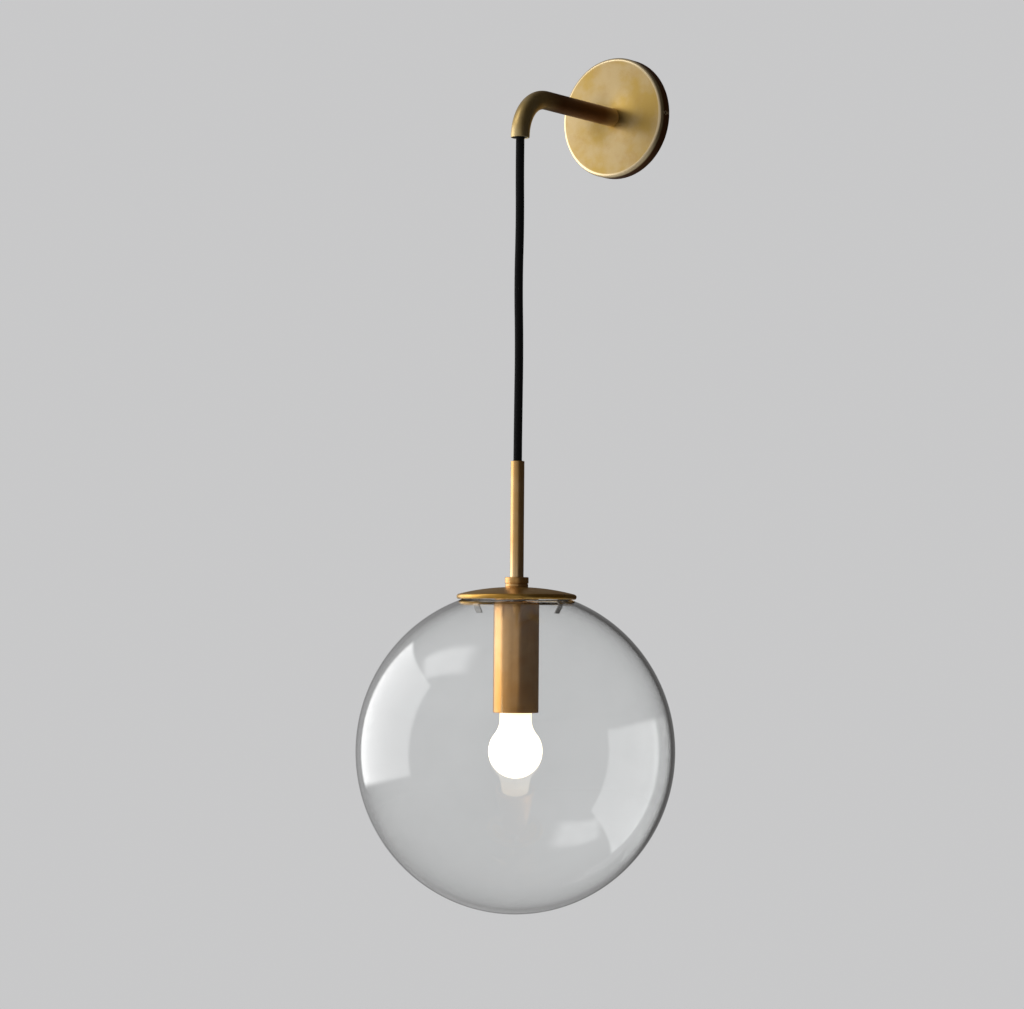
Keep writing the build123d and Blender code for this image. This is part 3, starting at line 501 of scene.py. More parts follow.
PLATE_BRASS = AgedBrass(
    "backplate brass", (0.53, 0.395, 0.200), (0.48, 0.32, 0.090), (0.40, 0.22, 0.058),
    Grain.ACROSS_PLATE, roughness=0.40, cloud_size=0.028, tarnish=0.22, marks=0.25,
    # the plate's rim ring is brightened partly as wear, partly as a painted highlight
    # the plate's side band gets painted shade towards the wall
    wear=0.75, polished_rim=0.0476, dark_from=(-0.0092, -0.0076))
ARM_BRASS = AgedBrass(
    "arm brass", (0.60, 0.47, 0.24), (0.52, 0.365, 0.14), (0.28, 0.13, 0.036),
    Grain.ALONG_ARM, roughness=0.38, cloud_size=0.030, tarnish=0.25, marks=0.3,
    # the arm's run gets painted shade towards the wall
    dark_from=(-0.122, -0.088))
STEM_BRASS = AgedBrass(
    "stem brass", (0.76, 0.49, 0.22), (0.68, 0.39, 0.14), (0.40, 0.17, 0.045),
    Grain.UPRIGHT, roughness=0.36, cloud_size=0.036, tarnish=0.15, marks=0.3)
CUP_BRASS = AgedBrass(
    "cup brass", (0.78, 0.47, 0.21), (0.70, 0.37, 0.13), (0.42, 0.16, 0.04),
    Grain.UPRIGHT, roughness=0.30, cloud_size=0.034, tarnish=0.14, marks=0.6,
    # the cup's lower end gets a painted reflection of the bulb's glow
    heated_from=(-0.490, -0.440))
CAP_BRASS = AgedBrass(
    "cap brass", (0.72, 0.45, 0.13), (0.62, 0.33, 0.06), (0.36, 0.14, 0.018),
    Grain.TURNED, roughness=0.32, cloud_size=0.024, tarnish=0.35, marks=0.7)
SLEEVE = WovenSleeve()
ZINC = PlainMetal("zinc plated steel", (0.62, 0.62, 0.63), (0.48, 0.49, 0.51), 0.34)
BRACKET_STEEL = PlainMetal(
    "pressed steel sheet", (0.58, 0.58, 0.59), (0.44, 0.45, 0.46), 0.42, size=0.012)
SPRING_STEEL = PlainMetal(
    "bright spring steel", (0.60, 0.58, 0.55), (0.44, 0.43, 0.41), 0.24, size=0.006)
PLAIN_BRASS = PlainMetal("machined brass", (0.80, 0.62, 0.30), (0.66, 0.46, 0.19), 0.26)
NICKEL = PlainMetal("nickel plating", (0.74, 0.72, 0.67), (0.60, 0.57, 0.52), 0.22)
BROWN_WIRE = Moulded("brown insulation", (0.16, 0.065, 0.03), (0.11, 0.045, 0.02), 0.4)
BLUE_WIRE = Moulded("blue insulation", (0.035, 0.10, 0.36), (0.025, 0.07, 0.26), 0.4)
NYLON = Moulded("dark nylon", (0.028, 0.028, 0.030), (0.018, 0.018, 0.019), 0.5)
CONNECTOR = Moulded("pale connector plastic", (0.72, 0.73, 0.75), (0.62, 0.63, 0.66), 0.3)
HOLDER_BLACK = Moulded(
    "black thermoset", (0.036, 0.034, 0.033), (0.022, 0.021, 0.021), 0.42, skin=0.0004)
SILICONE = Moulded("pale silicone", (0.50, 0.49, 0.46), (0.42, 0.41, 0.38), 0.5)
INSULATOR = Moulded("black vitrified glass", (0.012, 0.012, 0.016), (0.02, 0.02, 0.03), 0.12)
GLASS = ClearGlass()
POST_GLASS = ClearGlass("post glass", (0.96, 0.97, 0.96), (0.93, 0.94, 0.94), 1.5)
OPAL = LitOpal()
PHOSPHOR = Glowing()

Finish = Union[AgedBrass, PlainMetal, Moulded, WovenSleeve, ClearGlass, LitOpal, Glowing]


@cache
def finish_material(finish: Finish) -> Material:
    """Give a finish's material, made once."""
    return finish.material()


# Mesh tools
def quarter_turn(axis: str) -> Matrix:
    """Give a turn of 90 degrees round an axis."""
    return Matrix.Rotation(math.radians(90.0), 4, axis)


def corners(parts: Iterable) -> list[BMVert]:
    """Pick the corners out of an operator's result."""
    return [part for part in parts if isinstance(part, BMVert)]


def level_edges(mesh: BMesh, height: float) -> list[BMEdge]:
    """Find the edges that lie level at a height in mm."""
    return [edge for edge in mesh.edges
            if all(abs(vert.co.z - height * MM) < NEAR for vert in edge.verts)]


def round_edges(mesh: BMesh, edges: list, width: float, segments: int) -> None:
    """Round edges over a width in mm with a number of faces."""
    bmesh.ops.bevel(mesh, geom=edges, offset=width * MM, segments=segments, profile=0.5,
                    affect="EDGES", material=-1, clamp_overlap=True)


def mesh_data(name: str, mesh: BMesh) -> bpy.types.Mesh:
    """Turn a bmesh into mesh data.

    Args:
        name: The data's name.
        mesh: The bmesh, which is used up.

    Returns:
        The data.
    """
    data = bpy.data.meshes.new(name)
    mesh.to_mesh(data)
    mesh.free()
    return data


def new_object(name: str, data: bpy.types.ID) -> Object:
    """Put an object in the scene.

    Args:
        name: Its name.
        data: Its mesh, curve, softbox or camera.

    Returns:
        The object.
    """
    made = bpy.data.objects.new(name, data)
    bpy.context.scene.collection.objects.link(made)
    return made


def settle(made: Object, body: str, node: str) -> Object:
    """Put a piece on its body in place of its CAD node.

    Args:
        made: The piece.
        body: The CAD body that it rides on.
        node: The CAD node that it replaces.

    Returns:
        The piece.
    """
    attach(made, body)
    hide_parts(node)
    log.info("piece %s rides on %s", made.name, body)
    return made


def dress(finish: Finish, *nodes: str) -> None:
    """Give CAD nodes a finish.

    Args:
        finish: One of the finishes.
        nodes: Names of the nodes.
    """
    for name in nodes:
        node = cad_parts[name]
        if not node.material_slots:
            node.data.materials.append(None)
        for slot in node.material_slots:
            slot.material = finish_material(finish)
        log.info("node %s has %s", name, finish.name)


class Shape:
    """A mesh under work, in metres."""

    def __init__(self, mesh: BMesh) -> None:
        """Take over a bmesh."""
        self.mesh = mesh

    def soften(self, *edges: tuple[float, float, float, int]) -> "Shape":
        """Round ring-shaped edges, one after another.

        Args:
            edges: Each edge's radius, height and rounding in mm, and its count of faces.

        Returns:
            This shape.
        """
        for radius, height, width, segments in edges:
            ring = [edge for edge in level_edges(self.mesh, height)
                    if all(abs(vert.co.xy.length - radius * MM) < NEAR for vert in edge.verts)]
            round_edges(self.mesh, ring, width, segments)
        return self

    def move(self, matrix: Matrix) -> "Shape":
        """Move or turn the whole mesh."""
        bmesh.ops.transform(self.mesh, matrix=matrix, verts=self.mesh.verts)
        return self

    def to_lamp(self) -> "Shape":
        """Carry the mesh from the Z axis to the lamp axis."""
        return self.move(Matrix.Translation(LAMP_AXIS))

    def piece(self, name: str, body: str, slot: str, finish: Finish, node: str,
              crease: float = 32.0) -> Object:
        """Turn the mesh into a finished piece of the lamp.

        Args:
            name: The piece's name.
            body: The CAD body that it rides on.
            slot: The record's material slot; not used.
            finish: The finish that makes its material.
            node: The CAD node that it replaces.
            crease: Edges sharper than this stay sharp, in degrees.

        Returns:
            The new object.
        """
        bmesh.ops.recalc_face_normals(self.mesh, faces=self.mesh.faces)
        for face in self.mesh.faces:
            face.smooth = True
        for edge in self.mesh.edges:
            edge.smooth = edge.calc_face_angle(0.0) < math.radians(crease)
        made = new_object(name, mesh_data(name, self.mesh))
        made.data.materials.append(finish_material(finish))
        return settle(made, body, node)


class Outline:
    """The outline of a turned shape in mm, with the radius along X and the height along Z."""

    def __init__(self, radius: float, height: float) -> None:
        """Set the first corner."""
        self.mesh = bmesh.new()
        self.tip = self.start = self.mesh.verts.new((radius * MM, 0.0, height * MM))

    def line(self, *points: Point) -> "Outline":
        """Draw straight runs.

        Args:
            points: (radius, height) of each next corner.

        Returns:
            This outline.
        """
        for radius, height in points:
            self.tip = bmesh.ops.extrude_vert_indiv(self.mesh, verts=[self.tip])["verts"][0]
            self.tip.co = (radius * MM, 0.0, height * MM)
        return self

    def arc(self, middle: Point, end: Point, steps: int) -> "Outline":
        """Draw an arc through a middle point.

        Args:
            middle: A point on the arc.
            end: The arc's end.
            steps: How many runs make the arc.

        Returns:
            This outline.
        """
        start = (self.tip.co.x / MM, self.tip.co.z / MM)
        first, second, third = (Vector(point) * MM for point in (start, middle, end))
        one, two = second - first, third - first
        cross = 2.0 * (one.x * two.y - one.y * two.x)
        centre = first + Vector((two.y * one.length_squared - one.y * two.length_squared,
                                 one.x * two.length_squared - two.x * one.length_squared)) / cross
        angles = [math.atan2(p.y - centre.y, p.x - centre.x) for p in (first, third)]
        sweep = (angles[1] - angles[0]) % (2.0 * math.pi)
        if cross < 0.0:
            sweep -= 2.0 * math.pi
        made = bmesh.ops.spin(
            self.mesh, geom=[self.tip], cent=(centre.x, 0.0, centre.y), axis=(0.0, 1.0, 0.0),
            angle=-sweep, steps=steps)
        self.tip = corners(made["geom_last"])[0]
        self.tip.co = (third.x, 0.0, third.y)
        return self

    def oval(self, middle: float, half_width: float, half_height: float, start: float,
             end: float) -> "Outline":
        """Draw part of an oval that is centred on the Z axis.

        Args:
            middle: The height of the oval's middle.
            half_width: Half its width.
            half_height: Half its height.
            start: The angle where the part starts, in radians above level.
            end: The angle where it ends.

        Returns:
            This outline.
        """
        before = set(self.mesh.verts)
        first = self.mesh.verts.new(
            (half_width * math.cos(start) * MM, 0.0, (middle + half_width * math.sin(start)) * MM))
        made = bmesh.ops.spin(
            self.mesh, geom=[first], cent=(0.0, 0.0, middle * MM), axis=(0.0, 1.0, 0.0),
            angle=start - end, steps=OVAL_RUNS)
        bmesh.ops.scale(
            self.mesh, vec=(1.0, 1.0, half_height / half_width),
            space=Matrix.Translation((0.0, 0.0, -middle * MM)),
            verts=[vert for vert in self.mesh.verts if vert not in before])
        self.tip = corners(made["geom_last"])[0]
        if abs(self.tip.co.x) < NEAR:
            self.tip.co.x = 0.0
        return self

    def closed(self) -> "Outline":
        """Join the last corner to the first."""
        self.mesh.edges.new((self.tip, self.start))
        return self

    def turn(self, steps: int) -> Shape:
        """Turn the outline once round the Z axis.

        Args:
            steps: How many faces go round.

        Returns:
            The turned shape.
        """
        bmesh.ops.spin(
            self.mesh, geom=self.mesh.verts[:] + self.mesh.edges[:], cent=(0.0, 0.0, 0.0),
            axis=(0.0, 0.0, 1.0), angle=2.0 * math.pi, steps=steps, use_merge=True)
        bmesh.ops.remove_doubles(self.mesh, verts=self.mesh.verts, dist=1e-6)
        bmesh.ops.recalc_face_normals(self.mesh, faces=self.mesh.faces)
        return Shape(self.mesh)


# Studio
@dataclass
class Studio:
    """Camera, softboxes, pale floor and pale surroundings."""

    camera_place: Place = (1.32069, -1.91217, -0.41701)
    yaw: float = 36.789
    pitch: float = 2.318
    roll: float = 0.459
    lens: float = 98.2
    sensor: float = 36.0
    view_range: Point = (0.05, 60.0)
    backdrop: Colour = (0.58, 0.58, 0.585)
    shaded_side: Colour = (0.022, 0.018, 0.015)
    shaded_glass: Colour = (0.20, 0.20, 0.20)
    window: Colour = (0.95, 0.93, 0.90)
    floor_light: Colour = (0.34, 0.34, 0.34)
    floor_height: float = -0.95
    floor_radius: float = 3.0
    floor_fade: Point = (0.5, 1.6)

    def camera(self) -> None:
        """Set the camera where the photograph was taken from."""
        data = bpy.data.cameras.new("camera")
        data.sensor_width = self.sensor
        data.lens = self.lens
        data.clip_start, data.clip_end = self.view_range
        made = new_object("camera", data)
        turn = (Matrix.Rotation(math.radians(self.yaw), 4, "Z")
                @ Matrix.Rotation(math.radians(90.0 + self.pitch), 4, "X")
                @ Matrix.Rotation(math.radians(self.roll), 4, "Z"))
        made.matrix_world = Matrix.Translation(self.camera_place) @ turn
        bpy.context.scene.camera = made

    def softbox(self, name: str, place: Place, aim: Place, size: Point, power: float,
                fade: float) -> None:
        """Add a softbox that fades towards its edges and isn't seen through the globe.

        Args:
            name: The lamp's name.
            place: Its middle.
            aim: The point that it faces.
            size: Its width and height.
            power: Its power in watts.
            fade: The share of its width over which an edge fades.
        """
        data = bpy.data.lights.new(name, "AREA")
        data.shape = "RECTANGLE"
        data.size, data.size_y = size
        data.energy = power
        graph = Graph(data)
        across, along, _ = graph.axes(graph.add("NewGeometry", {}, "Parametric"))
        glow = (0.5 - abs(across - 0.5)).step(0.0, fade) * (0.5 - abs(along - 0.5)).step(0.0, fade)
        depth, glossy, diffuse = graph.outputs(
            "LightPath", {}, "Transmission Depth", "Glossy Depth", "Diffuse Depth")
        straight_through = depth.step(3.2, 3.8) * (1.0 - (glossy + diffuse).at_most(1.0))
        graph.surface(graph.add("Emission", {"Strength": glow * (1.0 - straight_through)}))
        made = new_object(name, data)
        back = (Vector(place) - Vector(aim)).normalized()
        facing = back.to_track_quat("Z", "Y").to_matrix().to_4x4()
        made.matrix_world = Matrix.Translation(place) @ facing
        made.visible_camera = False

    def surroundings(self) -> None:
        """Fill the world: a pale backdrop to look at, a shaded room for metal to mirror."""
        world = bpy.data.worlds.new("studio")
        bpy.context.scene.world = world
        graph = Graph(world)
        x, y, _ = graph.axes(graph.add("TexCoord", {}, "Generated"))
        bounces, diffuse, depth, singular = graph.outputs(
            "LightPath", {}, "Glossy Depth", "Diffuse Depth", "Transmission Depth",
            "Is Singular Ray")
        on_glass = (1.0 - depth.at_most(1.0)) * singular
        lit_side = (x * -0.8 - y * 0.6).step(-0.35, 1.0)
        first_bounce = (2.0 - bounces.at_least(1.0)).at_least(0.0)
        window = (x * 0.6 - y * 0.8).step(0.93, 1.0) * first_bounce
        in_metal = graph.blend(lit_side, self.shaded_side, self.backdrop)
        in_metal = graph.blend(window * 0.42, in_metal, self.window)
        in_glass = graph.blend(lit_side, self.shaded_glass, self.backdrop)
        mirrored = graph.blend(on_glass, in_metal, in_glass)
        colour = graph.blend(bounces.at_most(1.0), self.backdrop, mirrored)
        colour = graph.blend(diffuse.at_most(1.0), colour, self.floor_light)
        graph.surface(graph.add("Background", {"Color": colour, "Strength": 1.0}))

    def floor(self) -> None:
        """Lay a floor that fades into the backdrop and is clear from below."""
        mesh = bmesh.new()
        bmesh.ops.create_circle(
            mesh, cap_ends=True, segments=64, radius=self.floor_radius,
            matrix=Matrix.Translation((0.0, -0.1, self.floor_height)))
        data = mesh_data("floor", mesh)
        graph, place = new_material("pale floor")
        x, y, _ = graph.axes(place)
        grain = graph.noise(place, 300.0)
        solid = graph.add("BsdfPrincipled", {
            "Base Color": graph.blend(grain, (0.62, 0.62, 0.62), (0.66, 0.66, 0.66)),
            "Roughness": 0.85,
            "Specular IOR Level": 0.1,
        })
        clear = graph.add("BsdfTransparent", {})
        below = graph.add("NewGeometry", {}, "Backfacing")
        gone = ((x * x + y * y) ** 0.5).step(*self.floor_fade).at_least(below)
        mix = graph.add("MixShader", {0: gone, 1: solid, 2: clear})
        data.materials.append(graph.surface(mix))
        new_object("floor", data)

    def build(self) -> None:
        """Set up everything but the camera."""
        self.softbox(
            "left softbox", (-1.27, -0.40, -0.17), (-0.374, 0.044, -0.17), (1.74, 1.36), 12.5, 0.05)
        self.softbox(
            "upper softbox", (-1.00, -0.96, 1.0), (-1.00, -0.96, 0.0), (1.6, 0.95), 8.0, 0.25)
        self.surroundings()
        self.floor()


# The lamp's sub-assemblies
@dataclass
class HangingCord:
    """The fabric cord between the arm and the stem, with its bending points."""

    radius: float = 3.4
    flex_radius: float = 3.47
    top: float = -35.6
    bottom: float = -292.4

    def sleeve(self) -> None:
        """Hang the free stretch, slightly waved as in the photograph."""
        wave = ((0.0, -0.0357), (-0.0002, -0.060), (0.0005, -0.104), (-0.0007, -0.152),
                (0.0007, -0.203), (0.0001, -0.260), (0.0, -0.2923))
        route = [(x, REACH, z) for x, z in wave]
        data = bpy.data.curves.new("cord sleeve", "CURVE")
        data.dimensions = "3D"
        data.bevel_depth = self.radius * MM
        data.bevel_resolution = 8
        data.resolution_u = 24
        data.use_fill_caps = True
        spline = data.splines.new("NURBS")
        spline.points.add(len(route) - 1)
        for point, place in zip(spline.points, route):
            point.co = (*place, 1.0)
        spline.order_u = 3
        spline.use_endpoint_u = True
        data.materials.append(finish_material(SLEEVE))
        made = settle(new_object("cord_sleeve", data), "cord", "pendant_cord")

    def bend(self, end: str, height: float) -> None:
        """Make the ball on which an end of the cord bends.

        Args:
            end: Which end it is, top or bottom.
            height: The ball's middle in mm.
        """
        size = self.flex_radius
        ball = Outline(0.0, height - size).arc((size, height), (0.0, height + size), 20).turn(32)
        ball.to_lamp().piece(
            f"cord_bend_{end}", f"flex_{end}", "cord_sleeve", SLEEVE, f"cord_flex_{end}")

    def build(self) -> None:
        """Make the cord and both bending points."""
        self.sleeve()
        self.bend("top", self.top)
        self.bend("bottom", self.bottom)
        dress(SLEEVE, "cord_in_arm", "cord_in_stem")


@dataclass
class WallPlate:
    """Backplate, wall bracket and what is behind the plate."""

    radius: float = 50.0
    depth: float = 12.0
    wall: float = 1.5
    rim: float = 3.0
    inner_rim: float = 1.2
    rod_hole: float = 5.05
    screw_hole: float = 2.1
    screw_depth: float = 5.0
    drill_length: float = 6.0

    def shell(self) -> Shape:
        """Turn the plate's shell, with its rolled rim.

        Returns:
            The shell, facing the room.
        """
        inner = self.radius - self.wall
        floor = self.depth - self.wall
        turn_in = self.radius - self.rim
        turn_back = self.depth - self.rim
        corner = self.rim * math.sqrt(0.5)
        outline = Outline(self.rod_hole, self.depth)
        outline.line((self.radius * 0.55, self.depth), (turn_in, self.depth))
        outline.arc((turn_in + corner, turn_back + corner), (self.radius, turn_back), 10)
        outline.line((self.radius, 0.0), (inner, 0.0), (inner, floor - self.inner_rim))
        outline.arc((inner - 0.35, floor - 0.35), (inner - self.inner_rim, floor), 5)
        shell = outline.line((self.rod_hole, floor)).closed().turn(192).soften(
            (self.radius, 0.0, 0.35, 3), (inner, 0.0, 0.25, 2),
            (self.rod_hole, self.depth, 0.2, 2))
        return shell.move(quarter_turn("X"))

    def drill(self, made: Object) -> None:
        """Cut the two side holes for the screws.

        Args:
            made: The plate's piece.
        """
        mesh = bmesh.new()
        for side in (-1.0, 1.0):
            place = Matrix.Translation((side * self.radius * MM, -self.screw_depth * MM, 0.0))
            bmesh.ops.create_cone(
                mesh, cap_ends=True, segments=40, radius1=self.screw_hole * MM,
                radius2=self.screw_hole * MM, depth=self.drill_length * MM,
                matrix=place @ quarter_turn("Y"))
        drill = new_object("drill", mesh_data("drill", mesh))
        cut = made.modifiers.new("holes", "BOOLEAN")
        cut.operation, cut.solver, cut.object = "DIFFERENCE", "EXACT", drill
        drilled = made.evaluated_get(bpy.context.evaluated_depsgraph_get())
        result = bpy.data.meshes.new_from_object(drilled)
        made.modifiers.clear()
        made.data = result
        bpy.data.objects.remove(drill)

    def build(self) -> None:
        """Make the plate and dress its fittings."""
        self.drill(self.shell().piece(
            "backplate", "wall_fixture", "backplate_brass", PLATE_BRASS, "canopy"))
        dress(BRACKET_STEEL, "wall_bracket")
        dress(PLATE_BRASS, "canopy_screws")
        dress(PLAIN_BRASS, "earth_screw", "earth_washer")
        dress(CONNECTOR, "wire_connectors")
        dress(BROWN_WIRE, "live_wire")
        dress(BLUE_WIRE, "neutral_wire")


@dataclass
class Arm:
    """The bent tube that carries the cord away from the wall."""

    radius: float = 7.5
    bore: float = 6.3
    start: float = 12.0
    reach: float = 139.0
    bend: float = 34.5
    mouth: float = 35.0
    sides: int = 80

    def carry(self, mesh: BMesh, ring: list, run: Vector, count: int) -> list:
        """Carry the tube's ring of faces along a straight run.

        Args:
            mesh: The mesh that it is in.
            ring: The ring's faces with their edges and corners.
            run: The whole run.
            count: How many steps it takes.

        Returns:
            The last ring.
        """
        for _ in range(count):
            ring = bmesh.ops.extrude_face_region(mesh, geom=ring)["geom"]
            bmesh.ops.translate(mesh, vec=run / count, verts=corners(ring))
        return ring

    def tube(self) -> Shape:
        """Make the tube with its real wall and softened mouth.

        Returns:
            The tube.
        """
        mesh = bmesh.new()
        root = Matrix.Translation((0.0, -self.start * MM, 0.0))
        bmesh.ops.create_circle(
            mesh, cap_ends=True, segments=self.sides, radius=self.radius * MM,
            matrix=root @ quarter_turn("X"))
        hollow = mesh.faces[:]
        bmesh.ops.inset_individual(
            mesh, faces=hollow, use_even_offset=True, thickness=(self.radius - self.bore) * MM)
        bmesh.ops.delete(mesh, geom=hollow, context="FACES_ONLY")
        level = Vector((0.0, (self.start - self.reach + self.bend) * MM, 0.0))
        ring = self.carry(mesh, mesh.verts[:] + mesh.edges[:] + mesh.faces[:], level, 4)
        swept = bmesh.ops.spin(
            mesh, geom=ring, axis=(1.0, 0.0, 0.0), angle=math.radians(90.0),
            cent=(0.0, (self.bend - self.reach) * MM, -self.bend * MM), steps=28)
        down = Vector((0.0, 0.0, (self.bend - self.mouth) * MM))
        self.carry(mesh, swept["geom_last"], down, 1)
        bmesh.ops.recalc_face_normals(mesh, faces=mesh.faces)
        mouth = [edge for edge in level_edges(mesh, -self.mouth) if edge.calc_face_angle(0.0) > 1.0]
        round_edges(mesh, mouth, 0.3, 3)
        return Shape(mesh)

    def build(self) -> None:
        """Make the arm and dress its fittings."""
        self.tube().piece("arm", "wall_fixture", "arm_brass", ARM_BRASS, "arm_tube")
        dress(PLAIN_BRASS, "arm_plug")
        dress(ZINC, "arm_rod", "arm_tooth_washer", "arm_nut")
        dress(NYLON, "arm_cord_collar", "mouth_bush")


@dataclass
class Pendant:
    """Stem, collar, cap, socket cup and the globe's spring, which hang from the cord."""

    stem_radius: float = 5.4
    stem_bore: float = 4.4
    stem_top: float = -293.0
    stem_bottom: float = -388.5
    collar_radius: float = 9.4
    collar_low_radius: float = 9.1
    collar_bore: float = 5.0
    collar_top: float = -385.0
    collar_step: float = -390.1
    groove_depth: float = 0.6
    groove_height: float = 0.45
    cap_top: float = -393.0
    cap_radius: float = 47.5
    cap_wall: float = 1.2
    cap_flat: float = 9.2
    cap_edge: float = 1.1
    cap_shoulder: float = -398.6
    cap_bottom: float = -402.5
    cup_radius: float = 18.0
    cup_bore: float = 16.8
    cup_top: float = -405.0
    cup_bottom: float = -491.8
    rod_hole: float = 5.05

    def stem(self) -> Shape:
        """Turn the slim tube.

        Returns:
            The tube.
        """
        radius, bore, top = self.stem_radius, self.stem_bore, self.stem_top
        stem = Outline(bore, top).line(
            (radius, top), (radius, top - LOOP_SPACING), (radius, top - 2.0 * LOOP_SPACING),
            (radius, self.stem_bottom), (bore, self.stem_bottom)).closed().turn(72)
        return stem.soften((radius, top, 0.4, 3), (bore, top, 0.2, 2)).to_lamp()

    def collar(self) -> Shape:
        """Turn the collar's two steps with the groove between them.

        Returns:
            The collar.
        """
        radius, low_radius, step = self.collar_radius, self.collar_low_radius, self.collar_step
        groove, below = low_radius - self.groove_depth, step - self.groove_height
        collar = Outline(self.stem_radius, self.collar_top).line(
            (radius, self.collar_top), (radius, step), (groove, step), (groove, below),
            (low_radius, below), (low_radius, self.cap_top), (self.collar_bore, self.cap_top),
            (self.collar_bore, self.stem_bottom), (self.stem_radius, self.stem_bottom)
        ).closed().turn(96)
        return collar.soften(
            (radius, self.collar_top, 0.7, 4), (radius, step, 0.4, 3),
            (low_radius, below, 0.25, 2), (low_radius, self.cap_top, 0.3, 2)).to_lamp()

    def cap(self) -> Shape:
        """Turn the shallow dome with its upright rim.

        Returns:
            The cap.
        """
        radius, flat, edge, wall = self.cap_radius, self.cap_flat, self.cap_edge, self.cap_wall
        top, shoulder, bottom = self.cap_top, self.cap_shoulder, self.cap_bottom
        inner = radius - wall
        middle = (flat + (radius - edge - flat) * 0.55, top - (top - shoulder) * 0.36)
        outline = Outline(self.rod_hole, top).line((flat, top))
        outline.arc(middle, (radius - edge, shoulder), 26)
        outline.line((radius, shoulder - edge), (radius, bottom + edge), (radius - edge, bottom),
                     (inner, bottom), (inner, shoulder - wall))
        outline.arc((middle[0], middle[1] - wall), (flat, top - wall), 26)
        cap = outline.line((self.rod_hole, top - wall)).closed().turn(192)
        return cap.soften(
            (radius, shoulder - edge, 0.75, 4), (radius - edge, shoulder, 0.6, 3),
            (radius, bottom + edge, 0.7, 4), (radius - edge, bottom, 0.5, 3)).to_lamp()

    def cup(self) -> Shape:
        """Turn the cup that hides the bulb holder.

        Returns:
            The cup.
        """
        radius, bore, top, bottom = self.cup_radius, self.cup_bore, self.cup_top, self.cup_bottom
        floor = top - (radius - bore)
        cup = Outline(self.rod_hole, top).line(
            (radius, top), (radius, top - LOOP_SPACING), (radius, top - 2.0 * LOOP_SPACING),
            (radius, bottom), (bore, bottom), (bore, floor), (self.rod_hole, floor)
        ).closed().turn(160)
        return cup.soften(
            (radius, top, 1.0, 5), (radius, bottom, 0.3, 3), (bore, bottom, 0.25, 2)).to_lamp()

    def build(self) -> None:
        """Make the pendant's metal parts and dress its fittings."""
        for name, shape, finish, node in (
            ("stem", self.stem(), STEM_BRASS, "stem_tube"),
            ("collar", self.collar(), STEM_BRASS, "stem_collar"),
            ("cap_dome", self.cap(), CAP_BRASS, "cap"),
            ("cup", self.cup(), CUP_BRASS, "socket_cup"),
        ):
            shape.piece(name, "pendant", "pendant_brass", finish, node)
        dress(STEM_BRASS, "collar_screw")
        dress(NYLON, "stem_bush", "stem_cord_collar")
        dress(ZINC, "main_rod", "cap_spacer", "cap_tooth_washer", "cap_nut", "cup_nut")
        dress(SPRING_STEEL, "globe_spring")
        dress(HOLDER_BLACK, "holder_cap", "holder_body")
        dress(PLAIN_BRASS, "holder_shell", "centre_contact", "side_contact")
        dress(BROWN_WIRE, "holder_live_wire")
        dress(BLUE_WIRE, "holder_neutral_wire")


@dataclass
class Globe:
    """The blown glass globe, a little taller than wide, and the gasket on its neck."""

    half_width: float = 126.0
    half_height: float = 127.5
    middle: float = -522.4
    wall: float = 2.8
    floor: float = 2.4
    neck: float = 42.0
    neck_bore: float = 39.0
    neck_top: float = -400.7
    gasket_height: float = 1.2
    gasket_brim: float = 0.8

    def shell(self) -> Shape:
        """Turn the globe, wall and all, with its fire-polished neck.

        Returns:
            The globe.
        """
        width, height = self.half_width - self.wall, self.half_height - self.wall
        inner_middle = self.middle - self.half_height + self.floor + height
        angle = math.acos(self.neck / self.half_width)
        inner_angle = math.acos(self.neck_bore / width)
        shoulder = self.middle + self.half_height * math.sin(angle)
        inner_shoulder = inner_middle + height * math.sin(inner_angle)
        outline = Outline(0.0, self.middle - self.half_height)
        outline.oval(self.middle, self.half_width, self.half_height, -0.5 * math.pi, angle)
        outline.line((self.neck, self.neck_top), (self.neck_bore, self.neck_top),
                     (self.neck_bore, inner_shoulder))
        outline.oval(inner_middle, width, height, inner_angle, -0.5 * math.pi)
        return outline.turn(216).soften(
            (self.neck_bore, inner_shoulder, 1.6, 6),
            (self.neck, shoulder, min(1.6, (self.neck_top - shoulder) * 0.4), 5),
            (self.neck, self.neck_top, 0.8, 5), (self.neck_bore, self.neck_top, 0.9, 5)).to_lamp()

    def gasket(self) -> Shape:
        """Turn the soft ring between the neck and the cap.

        Returns:
            The ring.
        """
        bore, outer = self.neck_bore, self.neck + self.gasket_brim
        bottom, top = self.neck_top, self.neck_top + self.gasket_height
        ring = Outline(bore, bottom).line((outer, bottom), (outer, top), (bore, top))
        return ring.closed().turn(128).soften(
            (outer, top, 0.35, 3), (outer, bottom, 0.35, 3)).to_lamp()

    def build(self) -> None:
        """Make the globe and its gasket."""
        self.shell().piece("globe", "globe", "clear_glass", GLASS, "globe_glass", crease=50.0)
        self.gasket().piece("neck_gasket", "globe", "gasket_rubber", SILICONE, "globe_gasket")


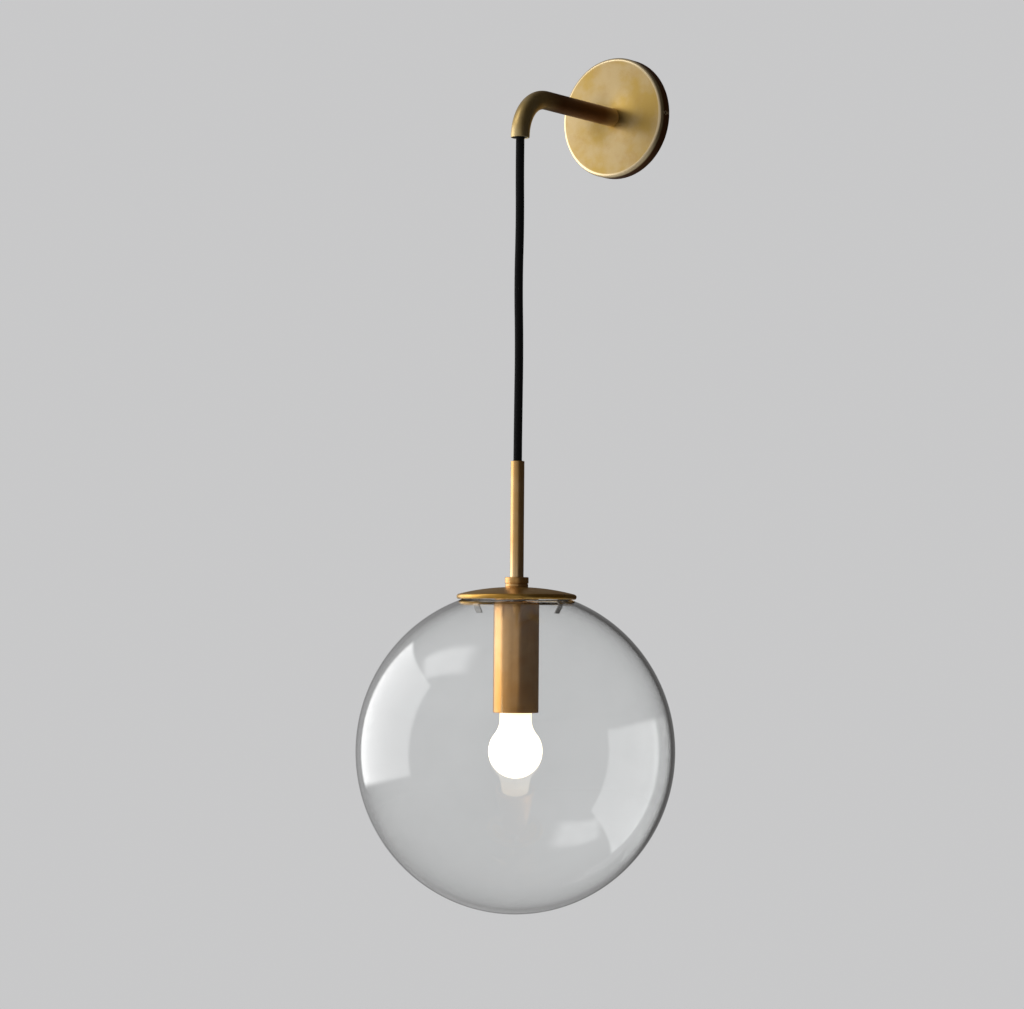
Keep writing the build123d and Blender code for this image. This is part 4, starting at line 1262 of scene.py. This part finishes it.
@dataclass
class Bulb:
    """The lit bulb with its threaded shell."""

    radius: float = 21.4
    middle: float = -522.2
    flare: Point = (16.8, -508.9)
    waist: Point = (13.7, -503.6)
    neck: float = 12.6
    flare_top: float = -499.0
    glass_top: float = -490.6
    wall: float = 0.8
    thread_bottom: float = -489.0
    thread_top: float = -467.0
    crest: float = 13.1
    root: float = 12.3
    metal: float = 0.4
    pitch: float = 3.62
    turns: int = 8
    sides: int = 72

    def glass(self) -> Shape:
        """Turn the opal glass.

        Returns:
            The glass.
        """
        inner, inner_neck = self.radius - self.wall, self.neck - self.wall
        outline = Outline(0.0, self.middle - self.radius)
        outline.arc((self.radius, self.middle), self.flare, 40)
        outline.arc(self.waist, (self.neck, self.flare_top), 12)
        outline.line(
            (self.neck, self.glass_top), (inner_neck, self.glass_top), (inner_neck, self.flare_top))
        outline.arc((self.waist[0] - self.wall, self.waist[1]),
                    (self.flare[0] - self.wall, self.flare[1]), 12)
        outline.arc((inner, self.middle), (0.0, self.middle - inner), 40)
        return outline.turn(96).to_lamp()

    def thread(self) -> BMesh:
        """Wind the rolled thread and cut it level at both ends.

        Returns:
            The thread, open at both ends.
        """
        root, crest = self.root, self.crest
        low = self.glass_top - self.pitch * 0.6
        mesh = Outline(root, low).line(
            (root + 0.15, low + 0.5), (crest - 0.12, low + 1.0), (crest, low + 1.45),
            (crest - 0.12, low + 1.9), (root + 0.15, low + 2.4), (root, low + 2.9),
            (root, low + self.pitch)).mesh
        bmesh.ops.spin(
            mesh, geom=mesh.verts[:] + mesh.edges[:], cent=(0.0, 0.0, 0.0), axis=(0.0, 0.0, 1.0),
            dvec=(0.0, 0.0, self.pitch * MM / self.sides), angle=2.0 * math.pi * self.turns,
            steps=self.sides * self.turns)
        bmesh.ops.remove_doubles(mesh, verts=mesh.verts, dist=2e-6)
        for height, below in ((self.thread_bottom, True), (self.thread_top, False)):
            bmesh.ops.bisect_plane(
                mesh, geom=mesh.verts[:] + mesh.edges[:] + mesh.faces[:], dist=1e-7,
                plane_co=(0.0, 0.0, height * MM), plane_no=(0.0, 0.0, 1.0), clear_inner=below,
                clear_outer=not below)
        return mesh

    def shell(self) -> Shape:
        """Make the screw shell: the thread, a bore inside it, and the lip on the glass.

        Returns:
            The screw shell.
        """
        mesh = self.thread()
        rims = []
        for height in (self.thread_bottom, self.thread_top):
            edges = [edge for edge in level_edges(mesh, height) if edge.is_boundary]
            made = bmesh.ops.extrude_edge_only(mesh, edges=edges)["geom"]
            for vert in corners(made):
                vert.co.xy = vert.co.xy.normalized() * (self.root - self.metal) * MM
            rims += [part for part in made if isinstance(part, BMEdge)]
        bmesh.ops.bridge_loops(mesh, edges=rims)
        crest, low, top = self.crest, self.glass_top, self.thread_bottom + 0.1
        edge, inner = self.thread_bottom - 0.5, self.neck - 0.6
        lip = Outline(self.neck, low).line(
            (crest, low), (crest, edge), (crest - 0.5, top), (inner, top), (inner, low))
        lip.closed().turn(96).soften((crest, low, 0.3, 3), (crest, edge, 0.2, 2))
        carrier = mesh_data("carrier", lip.mesh)
        mesh.from_mesh(carrier)
        bpy.data.meshes.remove(carrier)
        return Shape(mesh).to_lamp()

    def build(self) -> None:
        """Make the bulb and dress its small parts."""
        self.glass().piece("bulb_envelope", "bulb", "opal_glass", OPAL, "bulb_glass")
        self.shell().piece("bulb_thread", "bulb", "bulb_nickel", NICKEL, "bulb_shell", crease=60.0)
        dress(INSULATOR, "bulb_insulator")
        dress(POST_GLASS, "bulb_post")
        dress(PHOSPHOR, "light_rods")
        dress(PLAIN_BRASS, "bulb_tip")


def main() -> None:
    """Build the studio and the lamp."""
    logging.basicConfig(level=logging.INFO, format="%(name)s: %(message)s")
    studio = Studio()
    studio.camera()
    for part in (HangingCord(), WallPlate(), Arm(), Pendant(), Globe(), Bulb(), studio):
        part.build()
    bpy.context.scene.view_settings.view_transform = "Standard"


if __name__ == "__main__":
    main()
